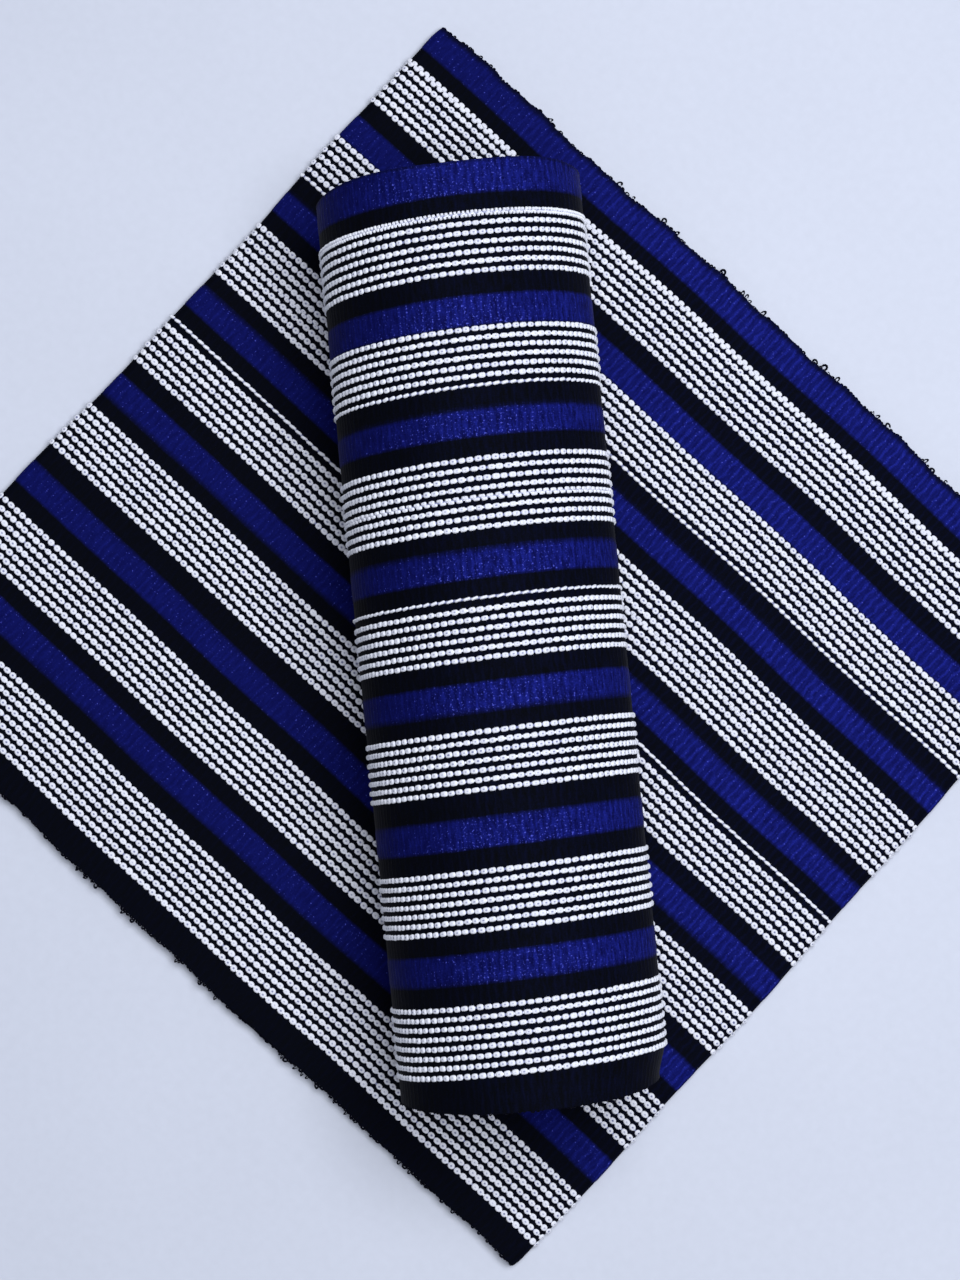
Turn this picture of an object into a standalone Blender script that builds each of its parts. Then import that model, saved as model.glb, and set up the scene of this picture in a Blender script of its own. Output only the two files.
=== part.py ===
"""A wrapper cloth, hand-woven in blue, black and white stripes.

One end of the length is wound flat into a square, four layers thick. The rest is in a roll that lies
across the square. X runs along the stripes of the square, from its left fold to its right fold, and Y
runs from its black selvedge to its blue selvedge.
"""

import math

import bmesh
import bpy
from mathutils import Vector

MM = 0.001

# The woven cloth
CLOTH_WIDTH = 350 * MM
WALL = 1.5 * MM
RIB_HEIGHT = 0.9 * MM
GAP = 0.3 * MM

# White rows across the cloth, counted from the blue selvedge, in mm:
# middle of the first row, number of rows, spacing of the rows
WHITE_BANDS = (
    (20.2, 7, 3.60),
    (63.3, 7, 3.50),
    (111.6, 8, 3.62),
    (163.5, 7, 3.60),
    (212.1, 7, 3.52),
    (263.2, 7, 3.56),
    (312.6, 8, 3.57),
)

# Extra stations beside each selvedge, in mm, where the corners of the cloth are rounded
EDGE_STATIONS = (1.5, 4.0, 8.0)
CORNER_RADIUS = 8 * MM
CORNER_DRAW_BACK = 2.4 * MM

# Height in a section, as a share of the whole, where the ribs begin, and over which they grow
SQUARE_RIB_START = 0.2
SQUARE_RIB_GROWTH = 0.4
ROLL_RIB_START = 0.02
ROLL_RIB_GROWTH = 0.12

# The flat-wound square
SQUARE_LENGTH = 361.5 * MM
HIDDEN_LAYERS = 2
SQUARE_HEIGHT = (HIDDEN_LAYERS + 2) * WALL + 2 * GAP
CUT_END_X = -110 * MM
CUT_END_GAP = 1 * MM
TURN_SEGMENTS = 5
TOP_SEGMENTS = 8
PLAIN_STEPS = 14

# How the four edges of the square stray from straight lines: amplitude mm, wavelength mm, phase
LEFT_FOLD_WAVES = ((0.8, 240, 0.5), (0.35, 83, 2.1))
RIGHT_FOLD_WAVES = ((0.7, 300, 3.6), (0.4, 97, 0.8))
BLUE_SELVEDGE_WAVES = ((0.7, 330, 1.2), (0.4, 104, 4.0))
BLACK_SELVEDGE_WAVES = ((0.6, 280, 5.1), (0.3, 88, 2.6))

# Hidden layers of the square, lowest first, in mm:
# how far each stands past the blue selvedge and past the black selvedge, and the phase of its waves
HIDDEN_LAYER_TABLE = (
    (-1.1, 0.5, 0.7),
    (0.6, -0.9, 3.9),
)
LAYER_BLUE_WAVES = ((0.5, 210, 0.0), (0.3, 77, 2.4))
LAYER_BLACK_WAVES = ((0.5, 190, 1.0), (0.3, 69, 3.2))
LAYER_GROOVE = 0.6 * MM
LAYER_ROUND = 0.4 * MM
LAYER_SIDE_STEPS = 16

# The roll
ROLL_WIDTH = 103 * MM
ROLL_HEIGHT = 98.3 * MM
ROLL_WIDEST_AT = 47 * MM
ROLL_BASE_HALF = 16 * MM
ROLL_CENTRE = (3 * MM, 1 * MM)
ROLL_TURN = math.radians(-41.85)
ROLL_DRIFT = 3 * MM
ROLL_ARC_STEPS = 7
ROLL_CORNER_STEPS = 5
ROLL_END_TUCK = 3.6 * MM
ROLL_TUCK_LENGTH = 14 * MM

# Turns of the roll at its ends, outermost first, in mm:
# share of the section that the turn reaches, and how far it stands out at the blue and black ends
ROLL_TURNS = (
    (1.00, -0.8, -0.4),
    (0.89, 0.9, 0.5),
    (0.78, 0.1, 1.4),
    (0.67, 1.6, 0.7),
    (0.56, 0.8, 1.9),
    (0.45, 2.2, 1.2),
    (0.34, 1.5, 2.4),
    (0.23, 2.6, 1.7),
)
TURN_GROOVE_SHARE = 0.03
TURN_GROOVE_DEPTH = 1.2 * MM
ROLL_CORE_SHARE = 0.12
ROLL_CORE_HEIGHT = 47 * MM

# Edges of the mesh sharper than this stay sharp when it is shaded smooth
SHARP_ANGLE = math.radians(35)

BLUE_THREAD = (0.006, 0.006, 0.15, 1.0)
BLACK_THREAD = (0.003, 0.003, 0.005, 1.0)
WHITE_THREAD = (0.75, 0.78, 0.90, 1.0)


def clear_scene():
    for thing in list(bpy.data.objects):
        bpy.data.objects.remove(thing, do_unlink=True)


def thread_material(name, colour, roughness):
    material = bpy.data.materials.new(name)
    material.use_nodes = True
    shader = material.node_tree.nodes["Principled BSDF"]
    shader.inputs["Base Color"].default_value = colour
    shader.inputs["Roughness"].default_value = roughness
    shader.inputs["Metallic"].default_value = 0.0
    return material


def waves(distance, table):
    """Sum of the sine waves in a table of amplitude mm, wavelength mm and phase."""
    total = 0.0
    for amplitude, wavelength, phase in table:
        total += amplitude * MM * math.sin(2 * math.pi * distance / (wavelength * MM) + phase)
    return total


def smooth_step(value):
    value = min(max(value, 0.0), 1.0)
    return value * value * (3 - 2 * value)


def cloth_stations():
    """Pairs of distance from the blue selvedge and rib height there, across the whole cloth."""
    stations = [(0.0, 0.0)]
    stations += [(step * MM, 0.0) for step in EDGE_STATIONS]
    for first, rows, spacing in WHITE_BANDS:
        stations.append(((first - spacing / 2) * MM, 0.0))
        for row in range(rows):
            middle = first + row * spacing
            stations.append((middle * MM, RIB_HEIGHT))
            stations.append(((middle + spacing / 2) * MM, 0.0))
    stations += [(CLOTH_WIDTH - step * MM, 0.0) for step in reversed(EDGE_STATIONS)]
    stations.append((CLOTH_WIDTH, 0.0))
    return stations


def plain_stations():
    """Distances from the blue selvedge of the few stations that an unribbed inner face needs."""
    near = [0.0, EDGE_STATIONS[1] * MM, CORNER_RADIUS]
    between = [CORNER_RADIUS + (CLOTH_WIDTH - 2 * CORNER_RADIUS) * step / PLAIN_STEPS
               for step in range(1, PLAIN_STEPS)]
    return near + between + [CLOTH_WIDTH - distance for distance in reversed(near)]


def add_chain(bm, points):
    return [bm.verts.new(point) for point in points]


def skin(bm, chain_a, chain_b, closed=False):
    """Quads between two chains of the same length."""
    count = len(chain_a)
    for i in range(count if closed else count - 1):
        j = (i + 1) % count
        bm.faces.new((chain_a[i], chain_a[j], chain_b[j], chain_b[i]))


def stitch(bm, chain_a, chain_b, key):
    """Triangles between two chains that may differ in length, kept level by the value of key."""
    a = b = 0
    while a < len(chain_a) - 1 or b < len(chain_b) - 1:
        next_a = key(chain_a[a + 1].co) if a < len(chain_a) - 1 else math.inf
        next_b = key(chain_b[b + 1].co) if b < len(chain_b) - 1 else math.inf
        if next_a <= next_b:
            bm.faces.new((chain_a[a], chain_a[a + 1], chain_b[b]))
            a += 1
        else:
            bm.faces.new((chain_a[a], chain_b[b + 1], chain_b[b]))
            b += 1


def finish_object(bm, name, material, parent):
    bmesh.ops.recalc_face_normals(bm, faces=bm.faces)
    mesh = bpy.data.meshes.new(name)
    bm.to_mesh(mesh)
    bm.free()
    mesh.materials.append(material)
    mesh.shade_smooth()
    mesh.set_sharp_from_angle(angle=SHARP_ANGLE)
    piece = bpy.data.objects.new(name, mesh)
    piece.parent = parent
    bpy.context.collection.objects.link(piece)
    return piece


def open_wall(bm, outer, inner, key):
    """A wall bent round a space: outer and inner are lists of chains that run across the cloth.

    The outer chains carry the ribs and have more points than the plain inner ones.
    """
    outer = [add_chain(bm, chain) for chain in outer]
    inner = [add_chain(bm, chain) for chain in inner]
    for chains in (outer, inner):
        for i in range(len(chains) - 1):
            skin(bm, chains[i], chains[i + 1])
    for end in (0, -1):
        skin(bm, [chain[end] for chain in outer], [chain[end] for chain in inner])
        stitch(bm, outer[end], inner[end], key)


# The flat-wound square

def corner_rounding(distance):
    """How far a fold draws back at this distance from the blue selvedge, near both corners."""
    from_edge = min(distance, CLOTH_WIDTH - distance)
    inside = 1 - min(from_edge / CORNER_RADIUS, 1.0)
    return CORNER_DRAW_BACK * inside * inside


def fold_reach(side, distance):
    """X of the left or right fold at a distance from the blue selvedge."""
    table = RIGHT_FOLD_WAVES if side > 0 else LEFT_FOLD_WAVES
    reach = SQUARE_LENGTH / 2 - corner_rounding(distance) + waves(distance, table)
    return side * reach


def square_y(x, distance):
    """Y of a thread of the top layer at this X, from its distance to the blue selvedge."""
    share = distance / CLOTH_WIDTH
    stray = waves(x, BLUE_SELVEDGE_WAVES) * (1 - share) + waves(x, BLACK_SELVEDGE_WAVES) * share
    return CLOTH_WIDTH / 2 - distance + stray


def turn_profile():
    """Section of the outer turn, from one cut end beneath it to the other.

    Each row has its place, its share of the way along that place, and the outward direction there in
    X and Z.
    """
    rows = [("cut end", 0.0, (0.0, -1.0))]
    for step in range(TURN_SEGMENTS + 1):
        angle = -math.pi / 2 + math.pi * step / TURN_SEGMENTS
        rows.append(("right fold", 0.0, (math.cos(angle), math.sin(angle))))
    for step in range(1, TOP_SEGMENTS):
        rows.append(("top", 1 - step / TOP_SEGMENTS, (0.0, 1.0)))
    for step in range(TURN_SEGMENTS + 1):
        angle = math.pi / 2 + math.pi * step / TURN_SEGMENTS
        rows.append(("left fold", 0.0, (math.cos(angle), math.sin(angle))))
    rows.append(("cut end", 1.0, (0.0, -1.0)))
    return rows


def turn_point(row, distance, depth, rib):
    """A point of the outer turn: depth below its outer face, plus the rib that stands out there."""
    place, share, (out_x, out_z) = row
    radius = SQUARE_HEIGHT / 2
    right = fold_reach(1, distance) - radius
    left = fold_reach(-1, distance) + radius
    if place == "right fold":
        x, z = right + radius * out_x, radius + radius * out_z
    elif place == "left fold":
        x, z = left + radius * out_x, radius + radius * out_z
    elif place == "top":
        x, z = left + (right - left) * share, SQUARE_HEIGHT
    else:
        x, z = CUT_END_X + CUT_END_GAP * (0.5 - share), 0.0
    raised = rib * smooth_step((z / SQUARE_HEIGHT - SQUARE_RIB_START) / SQUARE_RIB_GROWTH)
    x += out_x * (raised - depth)
    z += out_z * (raised - depth)
    return Vector((x, square_y(x, distance), z))


def make_folded_outer_turn(parent):
    bm = bmesh.new()
    profile = turn_profile()
    ribbed = cloth_stations()
    plain = plain_stations()
    outer = [[turn_point(row, d, 0.0, rib) for d, rib in ribbed] for row in profile]
    inner = [[turn_point(row, d, WALL, 0.0) for d in plain] for row in profile]
    open_wall(bm, outer, inner, lambda point: -point.y)
    material = thread_material("blue_black_white_weave", BLUE_THREAD, 0.75)
    return finish_object(bm, "folded_outer_turn", material, parent)


def layer_outline(half_height, blue_past, black_past, phase, inset):
    """Outline of a hidden layer seen from above.

    half_height is the height above or below the middle of the stack, which sets how far the layer
    reaches into the folds.
    """
    room = SQUARE_HEIGHT / 2 - WALL - 2 * GAP
    into_fold = math.sqrt(max(room * room - half_height * half_height, 0.0)) - SQUARE_HEIGHT / 2
    blue_table = [(size, length, start + phase) for size, length, start in LAYER_BLUE_WAVES]
    black_table = [(size, length, start + phase) for size, length, start in LAYER_BLACK_WAVES]
    far = CLOTH_WIDTH / 2
    along_fold = plain_stations()[2:-2]
    points = []

    def fold_x(side, y):
        return fold_reach(side, far - y) + side * (into_fold - inset)

    def edge_y(side, x):
        past, table = (blue_past, blue_table) if side > 0 else (black_past, black_table)
        return side * (far + past * MM + waves(x, table) - inset)

    def near_edge(side):
        return side * (far - CORNER_RADIUS)

    for step in range(LAYER_SIDE_STEPS + 1):
        x = fold_x(-1, near_edge(1)) * (1 - step / LAYER_SIDE_STEPS)
        x += fold_x(1, near_edge(1)) * step / LAYER_SIDE_STEPS
        x *= 1 - CORNER_RADIUS / SQUARE_LENGTH
        points.append((x, edge_y(1, x)))
    for distance in along_fold:
        points.append((fold_x(1, far - distance), far - distance))
    for step in range(LAYER_SIDE_STEPS + 1):
        x = fold_x(1, near_edge(-1)) * (1 - step / LAYER_SIDE_STEPS)
        x += fold_x(-1, near_edge(-1)) * step / LAYER_SIDE_STEPS
        x *= 1 - CORNER_RADIUS / SQUARE_LENGTH
        points.append((x, edge_y(-1, x)))
    for distance in reversed(along_fold):
        points.append((fold_x(-1, far - distance), far - distance))
    return points


def make_folded_hidden_layers(parent):
    bm = bmesh.new()
    middle = SQUARE_HEIGHT / 2
    rings = []
    for index, (blue_past, black_past, phase) in enumerate(HIDDEN_LAYER_TABLE):
        low = WALL + GAP + index * WALL
        high = low + WALL
        for z, inset in (
            (low, LAYER_GROOVE),
            (low + LAYER_ROUND, 0.0),
            (high - LAYER_ROUND, 0.0),
            (high, LAYER_GROOVE),
        ):
            if index and z == low:
                continue
            outline = layer_outline(abs(z - middle), blue_past, black_past, phase, inset)
            rings.append(add_chain(bm, [Vector((x, y, z)) for x, y in outline]))
    for lower, upper in zip(rings, rings[1:]):
        skin(bm, lower, upper, closed=True)
    bm.faces.new(rings[0])
    bm.faces.new(rings[-1])
    material = thread_material("black_weave_layers", BLACK_THREAD, 0.8)
    return finish_object(bm, "folded_hidden_layers", material, parent)


# The roll, along its own X from the blue end to the black end

def roll_section():
    """Outer section of the roll as (across, height) points, from one cut end beneath to the other."""
    half = ROLL_WIDTH / 2
    rise = ROLL_HEIGHT - ROLL_WIDEST_AT
    side = [(CUT_END_GAP / 2, 0.0), (ROLL_BASE_HALF, 0.0)]
    for step in range(1, ROLL_CORNER_STEPS + 1):
        angle = math.pi / 2 * step / ROLL_CORNER_STEPS
        across = ROLL_BASE_HALF + (half - ROLL_BASE_HALF) * math.sin(angle)
        side.append((across, ROLL_WIDEST_AT * (1 - math.cos(angle))))
    for step in range(1, ROLL_ARC_STEPS + 1):
        angle = math.pi / 2 * step / ROLL_ARC_STEPS
        side.append((half * math.cos(angle), ROLL_WIDEST_AT + rise * math.sin(angle)))
    return side + [(-across, height) for across, height in reversed(side[:-1])]


def outward_ways(section):
    """Unit outward direction at each point of an open section that runs anticlockwise."""
    ways = []
    last = len(section) - 1
    for i in range(len(section)):
        if i in (0, last):
            ways.append(Vector((0.0, -1.0)))
            continue
        before = Vector(section[i - 1])
        here = Vector(section[i])
        after = Vector(section[i + 1])
        way_in = (here - before).normalized()
        way_out = (after - here).normalized()
        normal_in = Vector((way_in.y, -way_in.x))
        normal_out = Vector((way_out.y, -way_out.x))
        half_way = (normal_in + normal_out).normalized()
        ways.append(half_way / max(half_way.dot(normal_in), 0.5))
    return ways


def roll_place(across, height, along):
    """A point of the roll in its own frame, with its black end drawn in on one side."""
    near_end = smooth_step((along - (CLOTH_WIDTH - ROLL_TUCK_LENGTH)) / ROLL_TUCK_LENGTH)
    if across > 0:
        across *= 1 - 2 * ROLL_END_TUCK / ROLL_WIDTH * near_end
    return Vector((along - CLOTH_WIDTH / 2, across, height))


def make_roll_outer_turn(parent):
    bm = bmesh.new()
    section = roll_section()
    ways = outward_ways(section)
    half = ROLL_WIDTH / 2
    ribbed = cloth_stations()
    steps = (0.0, 1 - ROLL_TUCK_LENGTH / CLOTH_WIDTH, 1 - ROLL_TUCK_LENGTH / CLOTH_WIDTH / 2, 1.0)
    outer = []
    inner = []
    for point, way in zip(section, ways):
        drift = -ROLL_DRIFT / 2 * point[0] / half
        shown = smooth_step((point[1] / ROLL_HEIGHT - ROLL_RIB_START) / ROLL_RIB_GROWTH)
        chain = []
        for distance, rib in ribbed:
            out = Vector(point) + way * rib * shown
            chain.append(roll_place(out.x, out.y, distance + drift))
        outer.append(chain)
        lined = Vector(point) - way * WALL
        inner.append([roll_place(lined.x, lined.y, step * CLOTH_WIDTH + drift) for step in steps])
    open_wall(bm, outer, inner, lambda place: place.x)
    material = thread_material("blue_black_white_weave_roll", WHITE_THREAD, 0.7)
    return finish_object(bm, "roll_outer_turn", material, parent)


def make_roll_inner_turns(parent):
    bm = bmesh.new()
    section = roll_section()
    ways = outward_ways(section)
    closed = section[1:-1]
    edge = [Vector(point) - way * (WALL + GAP) for point, way in zip(closed, ways[1:-1])]
    centre = Vector((0.0, ROLL_CORE_HEIGHT))

    def ring(share, along):
        points = [centre + (point - centre) * share for point in edge]
        return add_chain(bm, [roll_place(point.x, point.y, along) for point in points])

    def end_rings(end, column):
        """Rings of one end face from the outermost turn inwards."""
        face = 0.0 if end == "blue" else CLOTH_WIDTH
        out = -1 if end == "blue" else 1
        rings = []
        for index, turn in enumerate(ROLL_TURNS):
            share, stands_out = turn[0], turn[column] * MM
            following = ROLL_TURNS[index + 1][0] if index + 1 < len(ROLL_TURNS) else ROLL_CORE_SHARE
            lip = face + out * stands_out
            groove = face + out * (stands_out - TURN_GROOVE_DEPTH)
            rings.append(ring(share, lip))
            rings.append(ring(following + TURN_GROOVE_SHARE, lip))
            rings.append(ring(following + TURN_GROOVE_SHARE / 2, groove))
        return rings

    blue_rings = end_rings("blue", 1)
    black_rings = end_rings("black", 2)
    tuck_starts = CLOTH_WIDTH - ROLL_TUCK_LENGTH
    between = [ring(1.0, tuck_starts), ring(1.0, tuck_starts + ROLL_TUCK_LENGTH / 2)]
    rings = blue_rings[::-1] + between + black_rings
    for first, second in zip(rings, rings[1:]):
        skin(bm, first, second, closed=True)
    bm.faces.new(rings[0])
    bm.faces.new(rings[-1])
    material = thread_material("black_weave_turns", BLACK_THREAD, 0.8)
    return finish_object(bm, "roll_inner_turns", material, parent)


def centre_on_origin(frame, pieces):
    """Moves the frame so that the box round these pieces is centred on the origin."""
    corners = [vertex.co for piece in pieces for vertex in piece.data.vertices]
    for axis in (0, 1):
        values = [corner[axis] for corner in corners]
        frame.location[axis] = -(min(values) + max(values)) / 2


def main():
    clear_scene()
    cloth_frame = bpy.data.objects.new("cloth_frame", None)
    bpy.context.collection.objects.link(cloth_frame)
    roll_frame = bpy.data.objects.new("roll_frame", None)
    bpy.context.collection.objects.link(roll_frame)
    roll_frame.parent = cloth_frame
    roll_frame.location = (*ROLL_CENTRE, SQUARE_HEIGHT + RIB_HEIGHT + GAP)
    roll_frame.rotation_euler = (0.0, 0.0, ROLL_TURN)

    square = [make_folded_outer_turn(cloth_frame), make_folded_hidden_layers(cloth_frame)]
    make_roll_outer_turn(roll_frame)
    make_roll_inner_turns(roll_frame)
    centre_on_origin(cloth_frame, square)


main()
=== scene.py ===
import math
import random

import bpy
from bpy.props import FloatProperty, FloatVectorProperty, IntProperty, PointerProperty
from mathutils import Matrix, Vector


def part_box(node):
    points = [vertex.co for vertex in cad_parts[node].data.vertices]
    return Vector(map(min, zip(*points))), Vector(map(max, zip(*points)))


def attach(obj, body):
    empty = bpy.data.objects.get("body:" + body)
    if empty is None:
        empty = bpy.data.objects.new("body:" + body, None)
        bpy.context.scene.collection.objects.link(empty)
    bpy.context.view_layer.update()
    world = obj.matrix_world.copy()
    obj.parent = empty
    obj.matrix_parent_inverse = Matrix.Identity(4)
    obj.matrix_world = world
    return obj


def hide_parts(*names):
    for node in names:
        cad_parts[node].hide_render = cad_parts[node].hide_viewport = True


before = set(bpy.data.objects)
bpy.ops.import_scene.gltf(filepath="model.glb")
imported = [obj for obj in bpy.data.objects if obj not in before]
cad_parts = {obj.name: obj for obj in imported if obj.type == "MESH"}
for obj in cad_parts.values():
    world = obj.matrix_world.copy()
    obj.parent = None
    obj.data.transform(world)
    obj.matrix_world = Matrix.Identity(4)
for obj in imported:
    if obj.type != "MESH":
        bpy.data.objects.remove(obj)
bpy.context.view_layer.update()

bl_info = {
    "name": "Hand-woven wrapper cloth",
    "version": (1, 0, 0),
    "blender": (4, 5, 0),
    "location": "3D View > Sidebar > Cloth",
    "description": "A striped wrapper cloth, one end folded into a square and the rest rolled on it",
    "category": "Object",
}

MM = 0.001

# The weave, from the blue selvedge to the black one, in mm.
# White rows: middle of the first row, number of rows, spacing of the rows
WHITE_BANDS = (
    (20.2, 7, 3.60),
    (63.3, 7, 3.50),
    (111.6, 8, 3.62),
    (163.5, 7, 3.60),
    (212.1, 7, 3.52),
    (263.2, 7, 3.56),
    (312.6, 8, 3.57),
)

# Blue stripes: where each starts and ends. The first takes in the cut edge of its selvedge
BLUE_STRIPES = (
    (-1.5, 12.6),
    (50.6, 62.0),
    (93.0, 103.6),
    (145.0, 155.8),
    (193.5, 204.5),
    (243.8, 254.5),
    (292.8, 303.7),
)

# Rows that differ from the rest: band, row, shift in mm, lines of floats, their spacing in mm, share of
# the usual width, share of the usual length, painted shade in their hollows, slant of each float in degrees
ODD_ROWS = (
    (0, 0, 0.0, 2, 1.25, 0.80, 0.90, 0.3, 0),
    (1, 6, 0.0, 1, 0.00, 0.66, 0.95, 0.0, 10),
    (2, 4, 0.0, 2, 1.15, 0.66, 0.90, 0.5, 0),
    (3, 0, -0.6, 1, 0.00, 0.56, 1.08, 0.0, 11),
    (4, 2, 0.0, 1, 0.00, 1.02, 1.00, 1.5, 0),
    (4, 3, 0.0, 1, 0.00, 1.02, 1.00, 1.4, 0),
    (6, 7, 0.0, 1, 0.00, 1.06, 1.00, 0.9, 0),
)
USUAL_HOLLOW_SHADE = 1.0

# Where the ground is shaped beside each selvedge, in mm, and how far it rises in a blue stripe and
# under a white row
EDGE_STATIONS = (0.7, 2.2, 4.0)
BLUE_RISE = 0.15 * MM
ROW_RISE = 0.12 * MM

# On the roll the floats are drawn taut, and the first row's are each drawn into two
SPLIT_ROW = (0, 0)
SPLIT_WIDTH_SHARE = 0.8
ROLL_HOLLOW_SHADE_SHARE = 0.75
ROLL_FLOAT_WIDTH_SHARE = 0.83
ROLL_FLOAT_SLANT = 3

# The folded square
SQUARE_LENGTH = 361.5 * MM
SQUARE_HEIGHT = 6.6 * MM
GAP = 0.3 * MM
CUT_END_X = -110 * MM
CUT_END_GAP = 1 * MM
HIDDEN_CUT_END_X = 60 * MM
CORNER_RADIUS = 5 * MM
CORNER_DRAW_BACK = 0.8 * MM
TOP_STEPS = 72
FOLD_STEPS = 10
UNDERSIDE_STEPS = 22
FLOATS_START_HEIGHT = 0.34
FLOAT_LIFT = 0.1 * MM

# How deep the weft turns round a selvedge, as a share of the wall
WEFT_DEPTH_SHARE = 0.45

# How the four edges of the square stray from straight lines: amplitude mm, wavelength mm, phase
LEFT_FOLD_WAVES = ((0.8, 240, 0.5), (0.35, 83, 2.1))
RIGHT_FOLD_WAVES = ((0.7, 300, 3.6), (0.4, 97, 0.8))
BLUE_SELVEDGE_WAVES = ((0.7, 330, 1.2), (0.4, 104, 4.0))
BLACK_SELVEDGE_WAVES = ((0.6, 280, 5.1), (0.3, 88, 2.6))
INNER_TURN_WAVES = ((0.7, 170, 0.9), (0.4, 61, 2.2))

# Finer waves that only the outermost threads follow, and how far in they reach
BLUE_EDGE_WAVES = ((0.45, 33, 0.4), (0.30, 14, 1.7))
BLACK_EDGE_WAVES = ((0.25, 41, 2.0), (0.15, 12, 0.3))
EDGE_WAVE_REACH = 14 * MM

# Soft ridges and troughs of the square's top, in mm and degrees:
# middle X, middle Y, heading, length, width, height
SQUARE_CREASES = (
    (-128, 96, 78, 120, 22, 0.45),
    (-150, -30, 96, 90, 18, 0.35),
    (-95, -120, 62, 100, 24, 0.30),
    (118, 118, 84, 110, 26, 0.40),
    (150, -22, 101, 130, 20, 0.35),
    (92, -128, 70, 80, 22, 0.28),
    (-20, 158, 12, 90, 16, 0.30),
    (-60, -160, 172, 110, 18, 0.25),
)

# The roll
ROLL_WIDTH = 103 * MM
ROLL_HEIGHT = 98.3 * MM
ROLL_WIDEST_AT = 47 * MM
ROLL_BASE_HALF = 16 * MM
ROLL_CENTRE = (3 * MM, 1 * MM)
ROLL_TURN = math.radians(-41.85)
ROLL_RIB = 0.9 * MM
ROLL_DRIFT = 3 * MM
ROLL_BASE_STEPS = 4
ROLL_CORNER_STEPS = 18
ROLL_ARC_STEPS = 24
ROLL_END_TUCK = 3.6 * MM
ROLL_TUCK_LENGTH = 14 * MM
ROLL_FLOATS_START = 0.05

# Where the roll's thread map starts, so that its threads differ from the square's, in m
ROLL_MAP_START = 1.0

# How far the rows near the blue end run past a straight line on the roll's right side: reach, length
BLUE_SIDE_BEND = (0.9 * MM, 120 * MM)

# How far each end of the roll stands past a straight cut, in mm: terms of a power of the place across
# the roll, from -1 on its left side to 1 on its right side
BLUE_END_REACH = ((-0.6, 1), (3.6, 2), (-5.2, 4))
BLACK_END_REACH = ((2.4, 0), (1.4, 1), (-3.2, 4))
END_REACH_LENGTH = 13 * MM
INNER_END_STEP = 1.2 * MM

# Long soft ridges that the wound turns leave on the roll, in mm: place round the section as a share of
# it, middle along the roll, length, width round the section, height
ROLL_CREASES = (
    (0.30, 120, 260, 16, 0.45),
    (0.42, 240, 190, 12, 0.35),
    (0.55, 90, 170, 14, 0.40),
    (0.66, 230, 240, 16, 0.45),
    (0.74, 130, 150, 12, 0.30),
)

ROLL_CENTRE_HEIGHT = 47 * MM
CORE_SHARE = 0.12
INNER_TURNS = 26.5
STEPS_PER_TURN = 44
INNER_STATIONS = 13

# How far the wound turns' edges differ at both ends, and how far their core stands out
INNER_EDGE_SPREAD = 2.4 * MM
CORE_STANDS_OUT = 2.2 * MM

# Camera: where it stands and what it looks at in the cloth's own frame, and how its level is turned
CAMERA_PLACE = (19.8 * MM, -72.0 * MM, 1203.5 * MM)
CAMERA_AIM = (0.0, 0.0, 6.6 * MM)
CAMERA_LEVEL_TURN = math.radians(42.7)
CAMERA_LENS_MM = 83.8

# The weave's fixed colours: a painted glint on a glossy bit of blue thread, and black warp in painted shade
# in a groove
PAINTED_GLINT_BLUE = "#5F68DC"
SHADED_BLACK = "#050608"

# The floor lies just under the cloth, so that the two faces don't flicker
FLOOR_DROP = 0.2 * MM
FLOOR_SIZE = 6.0

# Two soft round lights that face the cloth: name, place in m, power in W
LIGHTS = (
    ("window_light", (0.90, 2.30, 1.60), 2.0),
    ("ceiling_light", (0.112, 0.320, 1.60), 31.0),
)
LIGHT_SIZE = 1.2
LIGHT_COLOUR = (0.88, 0.91, 1.0)
ROOM_STRENGTH = 0.23


def linear(hex_colour):
    """The linear colour of an sRGB hex value, with alpha."""
    channels = [int(hex_colour[i:i + 2], 16) / 255 for i in (1, 3, 5)]
    light = [c / 12.92 if c <= 0.04045 else ((c + 0.055) / 1.055) ** 2.4 for c in channels]
    return (*light, 1.0)


class ClothSizes(bpy.types.PropertyGroup):
    """Sizes of the cloth and of its threads."""

    cloth_width: FloatProperty(
        name="Cloth width", description="From the blue selvedge to the black one",
        default=350 * MM, min=0.2, max=0.6, unit="LENGTH")
    wall: FloatProperty(
        name="Cloth thickness", description="Thickness of the ground weave",
        default=1.5 * MM, min=0.0005, max=0.003, unit="LENGTH")
    float_length: FloatProperty(
        name="Float length", description="Spacing of the white floats along a row",
        default=3.16 * MM, min=0.001, max=0.01, unit="LENGTH")
    float_width: FloatProperty(
        name="Float width", description="Width of a white float across its row",
        default=2.5 * MM, min=0.001, max=0.01, unit="LENGTH")
    float_height: FloatProperty(
        name="Float height", description="How far a white float stands above the ground weave",
        default=0.7 * MM, min=0.0002, max=0.003, unit="LENGTH")
    weft_spacing: FloatProperty(
        name="Weft spacing", description="Spacing of the high weft ribs, with a low one between each two",
        default=3.16 * MM, min=0.0004, max=0.006, unit="LENGTH")
    loop_height: FloatProperty(
        name="Loop height", description="How far a loose weft loop stands out of a selvedge",
        default=1.7 * MM, min=0.0005, max=0.005, unit="LENGTH")
    thread_width: FloatProperty(
        name="Weft thread", description="Thickness of the weft thread at the selvedges",
        default=0.45 * MM, min=0.0002, max=0.001, unit="LENGTH")
    seed: IntProperty(
        name="Seed", description="Seed of the small differences between threads",
        default=7, min=0)


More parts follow.
